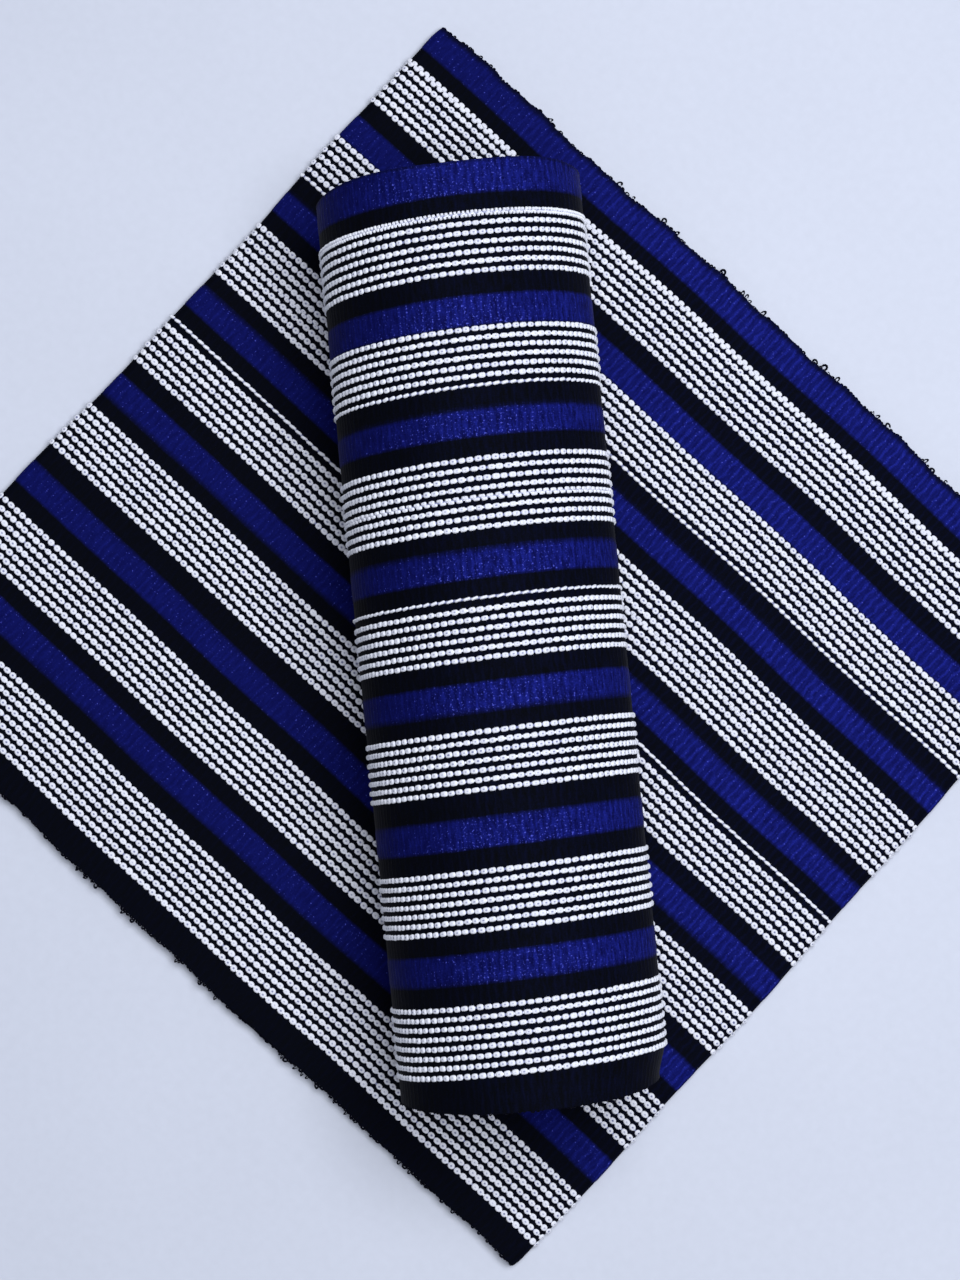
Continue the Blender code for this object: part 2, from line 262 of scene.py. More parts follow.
class ClothColours(bpy.types.PropertyGroup):
    """Colours of the threads and of the floor."""

    blue: FloatVectorProperty(
        name="Royal blue", description="Blue warp in full light",
        default=linear("#1E278C"), size=4, min=0, max=1, subtype="COLOR")
    # Painted shade: the blue between two weft ribs and on the side of the cloth turned from the light
    shaded_blue: FloatVectorProperty(
        name="Deep blue", description="Blue warp between two weft ribs",
        default=linear("#06083A"), size=4, min=0, max=1, subtype="COLOR")
    black: FloatVectorProperty(
        name="Black", description="Black warp and weft in full light",
        default=linear("#090D24"), size=4, min=0, max=1, subtype="COLOR")
    white: FloatVectorProperty(
        name="White", description="White floats in full light",
        default=linear("#F8F9FD"), size=4, min=0, max=1, subtype="COLOR")
    # Painted shade: the hollow in the middle of a float, the grooves between its strands, and between the
    # weft ribs of a flat white row
    shaded_white: FloatVectorProperty(
        name="Shaded white", description="The hollow in the middle of a float",
        default=linear("#70759A"), size=4, min=0, max=1, subtype="COLOR")
    floor: FloatVectorProperty(
        name="Floor", description="Plain pale floor",
        default=linear("#D4D8E1"), size=4, min=0, max=1, subtype="COLOR")


def sizes():
    return bpy.context.scene.cloth_sizes


def colours():
    return bpy.context.scene.cloth_colours


# Small shared helpers

def smooth_step(value):
    value = min(max(value, 0.0), 1.0)
    return value * value * (3 - 2 * value)


def waves(distance, table):
    """Sum of the sine waves in a table of amplitude mm, wavelength mm and phase."""
    total = 0.0
    for amplitude, wavelength, phase in table:
        total += amplitude * MM * math.sin(2 * math.pi * distance / (wavelength * MM) + phase)
    return total


def row_middles():
    """Band, row, middle and spacing of every white row, in mm."""
    shifts = {(band, row): shift for band, row, shift, *rest in ODD_ROWS}
    for band, (first, count, spacing) in enumerate(WHITE_BANDS):
        for row in range(count):
            yield band, row, first + row * spacing + shifts.get((band, row), 0.0), spacing


class NodeOutput:
    """What a node gives. A sum with it is written as a plain sum and becomes Math nodes."""

    def __init__(self, socket):
        self.socket = socket

    def work(self, operation, *others):
        """The result of a Math node on this number and the others."""
        inputs = dict(enumerate((self, *others)))
        return add_node(self.socket.id_data, "ShaderNodeMath", inputs, operation=operation)

    def __add__(self, other):
        return self.work("ADD", other)

    def __sub__(self, other):
        return self.work("SUBTRACT", other)

    def __rsub__(self, other):
        return self.work("MULTIPLY_ADD", -1.0, other)

    def __mul__(self, other):
        return self.work("MULTIPLY", other)

    def __truediv__(self, other):
        return self.work("DIVIDE", other)

    def __pow__(self, power):
        return self.work("POWER", power)

    def __abs__(self):
        return self.work("ABSOLUTE")

    __radd__ = __add__
    __rmul__ = __mul__


def socket_of(sockets, key):
    """A node's socket by its place, or the one in use that has this name."""
    if isinstance(key, int):
        return sockets[key]
    return next(socket for socket in sockets if socket.name == key and socket.enabled)


def add_node(tree, kind, inputs=None, output=0, **settings):
    """Adds a node with its settings and gives one of its outputs, by place or by name.

    An input is a plain value, or what another node gives, which is linked.
    """
    made = tree.nodes.new(kind)
    for name, value in settings.items():
        setattr(made, name, value)
    for key, value in (inputs or {}).items():
        if isinstance(value, NodeOutput):
            tree.links.new(value.socket, socket_of(made.inputs, key))
        else:
            socket_of(made.inputs, key).default_value = value
    return NodeOutput(socket_of(made.outputs, output)) if made.outputs else None


def new_tree(name, wanted):
    """A Geometry Nodes tree with these named inputs, and what each of them gives."""
    tree = bpy.data.node_groups.new(name, "GeometryNodeTree")
    tree.interface.new_socket("Geometry", in_out="OUTPUT", socket_type="NodeSocketGeometry")
    for label, kind in wanted:
        tree.interface.new_socket(label, in_out="INPUT", socket_type="NodeSocket" + kind)
    given = tree.nodes.new("NodeGroupInput")
    return tree, {socket.name: NodeOutput(socket) for socket in given.outputs}


def finish_tree(tree, geometry, material):
    """Ends a tree with real geometry in this material."""
    real = add_node(tree, "GeometryNodeRealizeInstances", {"Geometry": geometry})
    finished = add_node(tree, "GeometryNodeSetMaterial", {"Geometry": real, "Material": material})
    add_node(tree, "NodeGroupOutput", {"Geometry": finished})
    return tree


def set_tree(piece, tree, values):
    """Puts a tree on a piece and sets its inputs by their identifiers."""
    modifier = piece.modifiers.new(tree.name, "NODES")
    modifier.node_group = tree
    for item in tree.interface.items_tree:
        if item.in_out == "INPUT" and item.name in values:
            modifier[item.identifier] = values[item.name]
    return modifier


def link_piece(name, mesh):
    piece = bpy.data.objects.new(name, mesh)
    bpy.context.scene.collection.objects.link(piece)
    return piece


def bake_piece(source, name):
    """A plain mesh piece from what the modifiers of source make, and source is removed."""
    depsgraph = bpy.context.evaluated_depsgraph_get()
    mesh = bpy.data.meshes.new_from_object(source.evaluated_get(depsgraph))
    mesh.name = name
    if not mesh.polygons:
        raise RuntimeError(f"{name} came out empty")
    # A source with no material of its own leaves an empty slot before the real one
    if mesh.materials[0] is None:
        mesh.materials.pop(index=0)
    bpy.data.objects.remove(source)
    return link_piece(name, mesh)


def fit_piece(piece):
    """Smooth, riding on the part's one body."""
    piece.data.shade_smooth()
    piece.data.set_sharp_from_angle(angle=math.radians(60))
    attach(piece, "root")
    return piece


# Where the cloth lies

def corner_rounding(distance):
    """How far a fold draws back at this distance from the blue selvedge, near both corners."""
    from_edge = min(distance, sizes().cloth_width - distance)
    inside = 1 - min(from_edge / CORNER_RADIUS, 1.0)
    return CORNER_DRAW_BACK * inside * inside


def fold_reach(side, distance):
    """X of the left or right fold at a distance from the blue selvedge."""
    table = RIGHT_FOLD_WAVES if side > 0 else LEFT_FOLD_WAVES
    return side * (SQUARE_LENGTH / 2 - corner_rounding(distance) + waves(distance, table))


def square_y(x, distance):
    """Y of a thread of the square from its distance to the blue selvedge."""
    width = sizes().cloth_width
    share = distance / width
    stray = waves(x, BLUE_SELVEDGE_WAVES) * (1 - share) + waves(x, BLACK_SELVEDGE_WAVES) * share
    stray += waves(x, BLUE_EDGE_WAVES) * max(1 - distance / EDGE_WAVE_REACH, 0.0) ** 2
    stray += waves(x, BLACK_EDGE_WAVES) * max(1 - (width - distance) / EDGE_WAVE_REACH, 0.0) ** 2
    return width / 2 - distance + stray


def steps_between(low, high, count):
    return [low + (high - low) * step / count for step in range(count + 1)]


def cloth_shift():
    """From the cloth's own frame to the part's, whose origin is in the middle of the part's box."""
    width = sizes().cloth_width
    reaches = [fold_reach(side, d) for side in (-1, 1) for d in steps_between(0, width, 100)]
    xs = steps_between(-SQUARE_LENGTH / 2, SQUARE_LENGTH / 2, 8)
    ys = [square_y(x, d) for x in xs for d in (0.0, width)]
    low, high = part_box("folded_outer_turn")
    middle = (low + high) / 2
    return Vector((middle.x - (min(reaches) + max(reaches)) / 2,
                   middle.y - (min(ys) + max(ys)) / 2, 0.0))


def roll_matrix():
    """From the roll's own frame, X along it from its blue end, to the cloth's frame."""
    lift = SQUARE_HEIGHT + ROLL_RIB + GAP
    return Matrix.Translation((*ROLL_CENTRE, lift)) @ Matrix.Rotation(ROLL_TURN, 4, "Z")


def weft_stations():
    """Stations across the cloth: distance from the blue selvedge, rise of the ground, crown of a row."""
    width = sizes().cloth_width
    rises = {0.0: (0.0, 0.0), width: (0.0, 0.0)}
    for distance in EDGE_STATIONS:
        rises[distance * MM] = (0.0, 0.0)
        rises[width - distance * MM] = (0.0, 0.0)
    for start, end in BLUE_STRIPES:
        rises[max(start, 0.0) * MM] = (0.0, 0.0)
        rises[end * MM] = (0.0, 0.0)
        for share in (0.12, 0.5, 0.88):
            rises[(start + (end - start) * share) * MM] = (BLUE_RISE, 0.0)
    for band, row, middle, spacing in row_middles():
        rises[(middle - spacing / 2) * MM] = (0.0, 0.0)
        rises[middle * MM] = (ROW_RISE, 1.0)
        # A row ends just before the next one starts
        rises[(middle + spacing / 2 - 0.05) * MM] = (0.0, 0.0)
    return [(distance, *rises[distance]) for distance in sorted(rises)]


def plain_stations():
    """Stations for a layer that shows only its edges."""
    width = sizes().cloth_width
    from_edge = [distance * MM for distance in (0.0, 0.8, 2.5, 7.0)]
    inside = steps_between(25 * MM, width - 25 * MM, 8)
    return [(d, 0.0, 0.0) for d in from_edge + inside + [width - d for d in reversed(from_edge)]]


def crease_height(x, y, table):
    """Height of the soft ridges and troughs of the square's top at a place in the cloth's frame."""
    total = 0.0
    for middle_x, middle_y, heading, length, width, height in table:
        dx = x / MM - middle_x
        dy = y / MM - middle_y
        turn = math.radians(heading)
        along = dx * math.cos(turn) + dy * math.sin(turn)
        across = dy * math.cos(turn) - dx * math.sin(turn)
        # A crease wanders 4 mm to each side of a straight line
        bend = across + 4 * math.sin(along / 30)
        total += height * MM * math.exp(-(2 * along / length) ** 2 - (2 * bend / width) ** 2)
    return total


def turn_sections(radius, cut_x):
    """Sections of a flat-wound turn, from one cut end beneath it to the other.

    Each is its place, its share of the way along that place, the outward direction there in X and Z
    and the travel along the thread.
    """
    half = SQUARE_LENGTH / 2
    first_run = half - radius - cut_x
    arc = math.pi * radius
    top = 2 * (half - radius)
    last_run = top - first_run
    sections = []
    for share in steps_between(0.0, 1.0, UNDERSIDE_STEPS)[:-1]:
        sections.append(("right underside", share, (0.0, -1.0), first_run * share))
    for share in steps_between(0.0, 1.0, FOLD_STEPS):
        angle = math.pi * (share - 0.5)
        way = (math.cos(angle), math.sin(angle))
        sections.append(("right fold", share, way, first_run + arc * share))
    for share in steps_between(0.0, 1.0, TOP_STEPS)[1:-1]:
        sections.append(("top", share, (0.0, 1.0), first_run + arc + top * share))
    for share in steps_between(0.0, 1.0, FOLD_STEPS):
        angle = math.pi * (share + 0.5)
        way = (math.cos(angle), math.sin(angle))
        sections.append(("left fold", share, way, first_run + arc + top + arc * share))
    for share in steps_between(0.0, 1.0, UNDERSIDE_STEPS)[1:]:
        sections.append(("left underside", share, (0.0, -1.0), first_run + 2 * arc + top + last_run * share))
    return sections


def turn_point(section, distance, radius, inset, cut_x, lift=0.0):
    """A point of a flat-wound turn whose folds lie inset from the outer ones, lifted off its outer face."""
    place, share, (out_x, out_z), travel = section
    middle = SQUARE_HEIGHT / 2
    right = fold_reach(1, distance) - inset - radius
    left = fold_reach(-1, distance) + inset + radius
    if place == "right fold":
        x, z = right + radius * out_x, middle + radius * out_z
    elif place == "left fold":
        x, z = left + radius * out_x, middle + radius * out_z
    elif place == "top":
        x, z = right + (left - right) * share, middle + radius
    elif place == "right underside":
        x, z = cut_x + CUT_END_GAP / 2 + (right - cut_x - CUT_END_GAP / 2) * share, middle - radius
    else:
        x, z = left + (cut_x - CUT_END_GAP / 2 - left) * share, middle - radius
    y = square_y(x, distance)
    if place == "top":
        ends = smooth_step(10 * min(share, 1 - share))
        z += crease_height(x, y, SQUARE_CREASES) * ends
    return Vector((x + out_x * lift, y, z + out_z * lift))


def roll_section():
    """Sections of the roll's outer turn, from one cut end beneath it to the other.

    Each is its place across and its height, the outward direction there and the travel along the thread.
    """
    half = ROLL_WIDTH / 2
    rise = ROLL_HEIGHT - ROLL_WIDEST_AT
    side = [(x, 0.0) for x in steps_between(CUT_END_GAP / 2, ROLL_BASE_HALF, ROLL_BASE_STEPS)]
    for angle in steps_between(0.0, math.pi / 2, ROLL_CORNER_STEPS)[1:]:
        across = ROLL_BASE_HALF + (half - ROLL_BASE_HALF) * math.sin(angle)
        side.append((across, ROLL_WIDEST_AT * (1 - math.cos(angle))))
    for angle in steps_between(0.0, math.pi / 2, ROLL_ARC_STEPS)[1:]:
        side.append((half * math.cos(angle), ROLL_WIDEST_AT + rise * math.sin(angle)))
    line = [Vector(place) for place in side]
    line += [Vector((-place[0], place[1])) for place in reversed(side[:-1])]
    sections = []
    travel = 0.0
    for i, here in enumerate(line):
        before = line[max(i - 1, 0)]
        after = line[min(i + 1, len(line) - 1)]
        travel += (here - before).length
        way = (after - before).normalized()
        sections.append((here, Vector((way.y, -way.x)), travel))
    return sections


def roll_point(section, distance, lift=0.0):
    """A point of the roll's outer turn in the roll's own frame, lifted off its outer face."""
    here, way, travel = section
    width = sizes().cloth_width
    side = here.x / (ROLL_WIDTH / 2)
    reach, length = BLUE_SIDE_BEND
    along = distance - ROLL_DRIFT / 2 * side
    along -= reach * max(side, 0.0) ** 2 * max(1 - distance / length, 0.0) ** 2
    for past_cut, from_end, sign in ((BLUE_END_REACH, distance, -1), (BLACK_END_REACH, width - distance, 1)):
        past = sum(factor * MM * side ** power for factor, power in past_cut)
        along += sign * past * smooth_step(1 - from_end / END_REACH_LENGTH)
    whole = roll_perimeter()
    for place, middle, length, breadth, height in ROLL_CREASES:
        along_share = 2 * (distance / MM - middle) / length
        round_share = 2 * (travel - place * whole) / (breadth * MM)
        lift += height * MM * math.exp(-along_share ** 2 - round_share ** 2)
    place = here + way * lift
    near_end = smooth_step((distance - (width - ROLL_TUCK_LENGTH)) / ROLL_TUCK_LENGTH)
    if place.x > 0:
        place.x *= 1 - 2 * ROLL_END_TUCK / ROLL_WIDTH * near_end
    return Vector((along - width / 2, place.x, place.y))


def roll_perimeter():
    """Length round the roll's outer turn, from the sizes of its arcs."""
    half = ROLL_WIDTH / 2
    low_arc = math.hypot(half - ROLL_BASE_HALF, ROLL_WIDEST_AT) * math.pi / math.sqrt(8)
    high_arc = math.hypot(half, ROLL_HEIGHT - ROLL_WIDEST_AT) * math.pi / math.sqrt(8)
    return 2 * (ROLL_BASE_HALF + low_arc + high_arc)


# Sheets of cloth

def sheet_mesh(name, grid, map_rows, crowns, bare):
    """A surface from a grid of points, with its thread map, the crown of each white row, and where rows
    are woven flat with no raised floats."""
    rows = len(grid)
    columns = len(grid[0])
    points = [point for row in grid for point in row]
    faces = []
    for i in range(rows - 1):
        for j in range(columns - 1):
            corner = i * columns + j
            faces.append((corner, corner + columns, corner + columns + 1, corner + 1))
    mesh = bpy.data.meshes.new(name)
    mesh.from_pydata(points, [], faces)
    spots = [spot for row in map_rows for spot in row]
    uv_map = mesh.uv_layers.new(name="thread_map")
    for loop in mesh.loops:
        uv_map.data[loop.index].uv = spots[loop.vertex_index]
    crown = mesh.attributes.new("row_crown", "FLOAT", "POINT")
    crown.data.foreach_set("value", [value for row in range(rows) for value in crowns])
    flat_rows = mesh.attributes.new("bare_rows", "FLOAT", "POINT")
    flat_rows.data.foreach_set("value", [bare[row] for row in range(rows) for value in crowns])
    return mesh


def thicken(name, mesh, wall, material, matrix):
    """A closed wall under a surface whose faces point outwards."""
    mesh.materials.append(material)
    source = link_piece(name + "_surface", mesh)
    solidify = source.modifiers.new("wall", "SOLIDIFY")
    solidify.thickness = wall
    solidify.offset = -1
    solidify.use_even_offset = True
    piece = bake_piece(source, name)
    piece.data.transform(matrix)
    return piece


def make_flat_turn(name, stations, radius, inset, cut_x, wall, material, past):
    """A flat-wound turn of the square. past gives how far it stands past the selvedges at each X."""
    width = sizes().cloth_width
    grid = []
    thread_map = []
    bare = []
    for section in turn_sections(radius, cut_x):
        row = []
        for distance, rise, crown in stations:
            point = turn_point(section, distance, radius, inset, cut_x, rise * flatness(section))
            share = distance / width
            point.y += past(point.x, 0) * (1 - share) - past(point.x, 1) * share
            row.append(point)
        grid.append(row)
        thread_map.append([(section[3], distance) for distance, rise, crown in stations])
        bare.append(0.0 if floats_stand(section) and inset == 0 else 1.0)
    mesh = sheet_mesh(name, grid, thread_map, [crown for distance, rise, crown in stations], bare)
    return thicken(name, mesh, wall, material, Matrix.Translation(cloth_shift()))


def flatness(section):
    """How much of the ground's relief shows: none where the cloth rests flat."""
    return smooth_step((section[2][1] + 1) * 2)


def floats_stand(section):
    """Floats stand on the top and round the folds, and lie flat beneath."""
    return section[2][1] > 2 * FLOATS_START_HEIGHT - 1


def make_roll_outer_turn(material):
    stations = weft_stations()
    grid = []
    thread_map = []
    bare = []
    for section in roll_section():
        shown = smooth_step((section[0].y / ROLL_HEIGHT - ROLL_FLOATS_START) * 10)
        grid.append([roll_point(section, distance, rise * shown) for distance, rise, crown in stations])
        thread_map.append([(section[2] + ROLL_MAP_START, distance) for distance, rise, crown in stations])
        bare.append(0.0 if section[0].y > ROLL_FLOATS_START * ROLL_HEIGHT else 1.0)
    mesh = sheet_mesh("roll_outer", grid, thread_map, [crown for distance, rise, crown in stations], bare)
    matrix = Matrix.Translation(cloth_shift()) @ roll_matrix()
    return thicken("roll_outer", mesh, sizes().wall, material, matrix)


def wound_turns_tree():
    """Winds a sheet inwards round a closed section, each turn a little smaller than the one outside it."""
    tree, told = new_tree("wound_turns", (
        ("Geometry", "Geometry"), ("Section", "Object"), ("Turns", "Float"), ("Steps", "Int"),
        ("Stations", "Int"), ("Core Share", "Float"), ("Core Height", "Float"), ("Width", "Float"),
        ("Roll Half", "Float"), ("Perimeter", "Float"), ("Edge Spread", "Float"),
        ("Core Stands Out", "Float"), ("Tuck Share", "Float"), ("Tuck Length", "Float"),
        ("Seed", "Float"), ("Material", "Material")))
    section = add_node(tree, "GeometryNodeObjectInfo", {"Object": told["Section"]}, output="Geometry")
    outline = add_node(tree, "GeometryNodeMeshToCurve", {"Mesh": section})
    columns = told["Stations"]
    rows = told["Turns"] * told["Steps"] + 1.0
    grid = add_node(tree, "GeometryNodeMeshGrid", {"Vertices X": rows, "Vertices Y": columns}, output="Mesh")
    index = add_node(tree, "GeometryNodeInputIndex")
    row = ((index + 0.5) / columns).work("FLOOR")
    column = index - row * columns
    travel = row / told["Steps"]
    inwards = travel / told["Turns"]
    shrink = 1.0 - told["Core Share"]
    spot = add_node(tree, "GeometryNodeSampleCurve", {"Curves": outline, "Factor": travel.work("FRACT")},
                    output="Position", mode="FACTOR", use_all_curves=False)
    centre = add_node(tree, "ShaderNodeCombineXYZ", {"Z": told["Core Height"]})
    reach = add_node(tree, "ShaderNodeVectorMath", {0: spot, 1: centre}, operation="SUBTRACT")
    shrunk = add_node(tree, "ShaderNodeVectorMath",
                      {0: reach, "Scale": 1.0 - inwards * shrink}, operation="SCALE")
    placed = add_node(tree, "ShaderNodeVectorMath", {0: shrunk, 1: centre}, operation="ADD")
    # Stations crowd towards both selvedges, where the edges show
    across = (column / (columns - 1.0) * math.pi).work("COSINE") * -1.0
    side = across.work("SIGN")
    ripple = add_node(tree, "ShaderNodeTexNoise",
                      {"W": travel * 2.3 + side * told["Seed"], "Scale": 1.0, "Detail": 3.0},
                      noise_dimensions="1D")
    outwards = (ripple - 0.5) * told["Edge Spread"] + inwards * told["Core Stands Out"]
    # Both ends are shaped as the outer turn's ends are
    from_middle = add_node(tree, "ShaderNodeSeparateXYZ", {0: placed}, output="Y")
    height = add_node(tree, "ShaderNodeSeparateXYZ", {0: placed}, output="Z")
    roll_side = from_middle / told["Roll Half"]
    reaches = []
    for past_cut in (BLUE_END_REACH, BLACK_END_REACH):
        terms = [roll_side ** float(power) * (factor * MM) for factor, power in past_cut]
        reaches.append(sum(terms, -INNER_END_STEP))
    outwards += add_node(tree, "ShaderNodeMix",
                         {"Factor": side.work("GREATER_THAN", 0.0), "A": reaches[0], "B": reaches[1]},
                         output="Result", data_type="FLOAT")
    half = told["Width"] * 0.5
    along = across * half + abs(across) ** 6.0 * side * outwards
    tucked = add_node(tree, "ShaderNodeMapRange",
                      {"Value": along, "From Min": half - told["Tuck Length"], "From Max": half,
                       "To Min": 0.0, "To Max": told["Tuck Share"]}, interpolation_type="SMOOTHSTEP")
    kept = 1.0 - from_middle.work("GREATER_THAN", 0.0) * tucked
    final = add_node(tree, "ShaderNodeCombineXYZ", {"X": along, "Y": from_middle * kept, "Z": height})
    # Travel along the thread is the sum of the shrinking turns so far
    unrolled = travel * told["Perimeter"] * (1.0 - inwards * 0.5 * shrink)
    thread_map = add_node(tree, "ShaderNodeCombineXYZ", {"X": unrolled, "Y": (across + 1.0) * half})
    at_points = add_node(tree, "GeometryNodeStoreNamedAttribute",
                         {"Geometry": grid, "Name": "thread_place", "Value": thread_map},
                         data_type="FLOAT_VECTOR", domain="POINT")
    place = add_node(tree, "GeometryNodeInputNamedAttribute", {"Name": "thread_place"},
                     output="Attribute", data_type="FLOAT_VECTOR")
    mapped = add_node(tree, "GeometryNodeStoreNamedAttribute",
                      {"Geometry": at_points, "Name": "thread_map", "Value": place},
                      data_type="FLOAT2", domain="CORNER")
    bare = add_node(tree, "GeometryNodeStoreNamedAttribute",
                    {"Geometry": mapped, "Name": "bare_rows", "Value": 1.0},
                    data_type="FLOAT", domain="POINT")
    moved = add_node(tree, "GeometryNodeSetPosition", {"Geometry": bare, "Position": final})
    return finish_tree(tree, moved, told["Material"])


def make_roll_inner_turns(material):
    """The wound turns inside the roll, one sheet from under the outer turn to the core."""
    inset = sizes().wall + GAP
    places = [here - way * inset for here, way, travel in roll_section()[1:-1]]
    points = [(0.0, place.x, place.y) for place in places]
    edges = [(i, (i + 1) % len(points)) for i in range(len(points))]
    mesh = bpy.data.meshes.new("section")
    mesh.from_pydata(points, edges, [])
    section = link_piece("section", mesh)
    source = link_piece("winding", bpy.data.meshes.new("winding"))
    pitch = (ROLL_WIDTH / 2 - inset) * (1 - CORE_SHARE) / INNER_TURNS
    set_tree(source, wound_turns_tree(), {
        "Section": section, "Turns": INNER_TURNS, "Steps": STEPS_PER_TURN,
        "Stations": INNER_STATIONS, "Core Share": CORE_SHARE, "Core Height": ROLL_CENTRE_HEIGHT,
        "Width": sizes().cloth_width, "Roll Half": ROLL_WIDTH / 2,
        "Perimeter": roll_perimeter() - 2 * math.pi * inset,
        "Edge Spread": INNER_EDGE_SPREAD, "Core Stands Out": CORE_STANDS_OUT,
        "Tuck Share": 2 * ROLL_END_TUCK / ROLL_WIDTH, "Tuck Length": ROLL_TUCK_LENGTH,
        "Seed": float(sizes().seed),
        "Material": material})
    solidify = source.modifiers.new("wall", "SOLIDIFY")
    solidify.thickness = pitch - GAP
    solidify.offset = -1
    solidify.use_even_offset = False
    piece = bake_piece(source, "roll_inner")
    bpy.data.objects.remove(section)
    piece.data.transform(Matrix.Translation(cloth_shift()) @ roll_matrix())
    return piece


# Floats and loops

def small_things_tree():
    """Sets a small piece at even steps along each line, facing the way that the line's points say."""
    tree, told = new_tree("small_things_on_lines", (
        ("Geometry", "Geometry"), ("Piece", "Object"), ("Spacing", "Float"), ("Size Spread", "Vector"),
        ("Turn Spread", "Vector"), ("Place Spread", "Vector"), ("Kept Share", "Float"),
        ("Grouping", "Float"), ("Seed", "Int"), ("Material", "Material")))
    lines = add_node(tree, "GeometryNodeMeshToCurve", {"Mesh": told["Geometry"]})
    spaced = add_node(tree, "GeometryNodeResampleCurve",
                      {"Curve": lines, "Length": told["Spacing"]}, mode="LENGTH")
    tangent = add_node(tree, "GeometryNodeInputTangent")
    named = {}
    for name, kind in (("stand", "FLOAT_VECTOR"), ("piece_size", "FLOAT_VECTOR"),
                       ("openness", "FLOAT"), ("slant", "FLOAT")):
        named[name] = add_node(tree, "GeometryNodeInputNamedAttribute", {"Name": name},
                               output="Attribute", data_type=kind)
    facing = add_node(tree, "FunctionNodeAlignRotationToVector", {"Vector": tangent}, axis="X")
    upright = add_node(tree, "FunctionNodeAlignRotationToVector",
                       {"Rotation": facing, "Vector": named["stand"]}, axis="Z", pivot_axis="X")
    drawn = {}
    for label, offset in (("Size Spread", 0.0), ("Turn Spread", 101.0), ("Place Spread", 202.0)):
        low = add_node(tree, "ShaderNodeVectorMath", {0: told[label], "Scale": -1.0}, operation="SCALE")
        drawn[label] = add_node(tree, "FunctionNodeRandomValue",
                                {"Min": low, "Max": told[label], "Seed": told["Seed"] + offset},
                                output="Value", data_type="FLOAT_VECTOR")
    for label, offset in (("chance", 303.0), ("tone", 404.0)):
        drawn[label] = add_node(tree, "FunctionNodeRandomValue",
                                {"Min": 0.0, "Max": 1.0, "Seed": told["Seed"] + offset},
                                output="Value", data_type="FLOAT")
    crowding = add_node(tree, "ShaderNodeTexNoise", {"Scale": 45.0, "Detail": 0.0})
    bunched = (crowding - 0.5) * told["Grouping"]
    kept = add_node(tree, "FunctionNodeCompare", {"A": drawn["chance"] + bunched, "B": told["Kept Share"]},
                    data_type="FLOAT", operation="LESS_THAN")
    toned = add_node(tree, "GeometryNodeStoreNamedAttribute",
                     {"Geometry": spaced, "Name": "tone", "Value": drawn["tone"]},
                     data_type="FLOAT", domain="POINT")
    with_hollow_shade = add_node(tree, "GeometryNodeStoreNamedAttribute",
                      {"Geometry": toned, "Name": "open_loop", "Value": named["openness"]},
                      data_type="FLOAT", domain="POINT")
    slanted = add_node(tree, "ShaderNodeCombineXYZ", {"Z": named["slant"]})
    turn = add_node(tree, "ShaderNodeVectorMath", {0: drawn["Turn Spread"], 1: slanted}, operation="ADD")
    turn_by = add_node(tree, "FunctionNodeEulerToRotation", {0: turn})
    turned = add_node(tree, "FunctionNodeRotateRotation",
                      {"Rotation": upright, "Rotate By": turn_by}, rotation_space="LOCAL")
    spread = add_node(tree, "ShaderNodeVectorMath",
                      {0: drawn["Size Spread"], 1: (1.0, 1.0, 1.0)}, operation="ADD")
    size = add_node(tree, "ShaderNodeVectorMath", {0: spread, 1: named["piece_size"]}, operation="MULTIPLY")
    local_step = add_node(tree, "FunctionNodeRotateVector",
                          {"Vector": drawn["Place Spread"], "Rotation": upright})
    nudged = add_node(tree, "GeometryNodeSetPosition", {"Geometry": with_hollow_shade, "Offset": local_step})
    piece = add_node(tree, "GeometryNodeObjectInfo", {"Object": told["Piece"]}, output="Geometry")
    placed = add_node(tree, "GeometryNodeInstanceOnPoints",
                      {"Points": nudged, "Selection": kept, "Instance": piece, "Rotation": turned,
                       "Scale": size})
    return finish_tree(tree, placed, told["Material"])


def lines_mesh(name, lines):
    """A mesh of lines. Each line has its points, the way that a piece stands at each, the size of the
    pieces there as shares, the painted shade in their hollows and how far they slant."""
    points, edges, stands, piece_sizes, openness, slants = [], [], [], [], [], []
    for line_points, line_stands, line_sizes, hollow_shade_share, slant in lines:
        start = len(points)
        points += line_points
        edges += [(start + i, start + i + 1) for i in range(len(line_points) - 1)]
        stands += line_stands
        piece_sizes += line_sizes
        openness += [hollow_shade_share] * len(line_points)
        slants += [slant] * len(line_points)
    mesh = bpy.data.meshes.new(name)
    mesh.from_pydata(points, edges, [])
    for label, values in (("stand", stands), ("piece_size", piece_sizes)):
        layer = mesh.attributes.new(label, "FLOAT_VECTOR", "POINT")
        layer.data.foreach_set("vector", [part for value in values for part in value])
    for label, values in (("openness", openness), ("slant", slants)):
        layer = mesh.attributes.new(label, "FLOAT", "POINT")
        layer.data.foreach_set("value", values)
    return mesh


def set_along(name, tree, lines, template, values):
    source = link_piece(name + "_lines", lines_mesh(name, lines))
    for part in (source, template):
        part.data.materials.clear()
        part.data.materials.append(values["Material"])
    set_tree(source, tree, {"Piece": template, **values})
    return bake_piece(source, name)


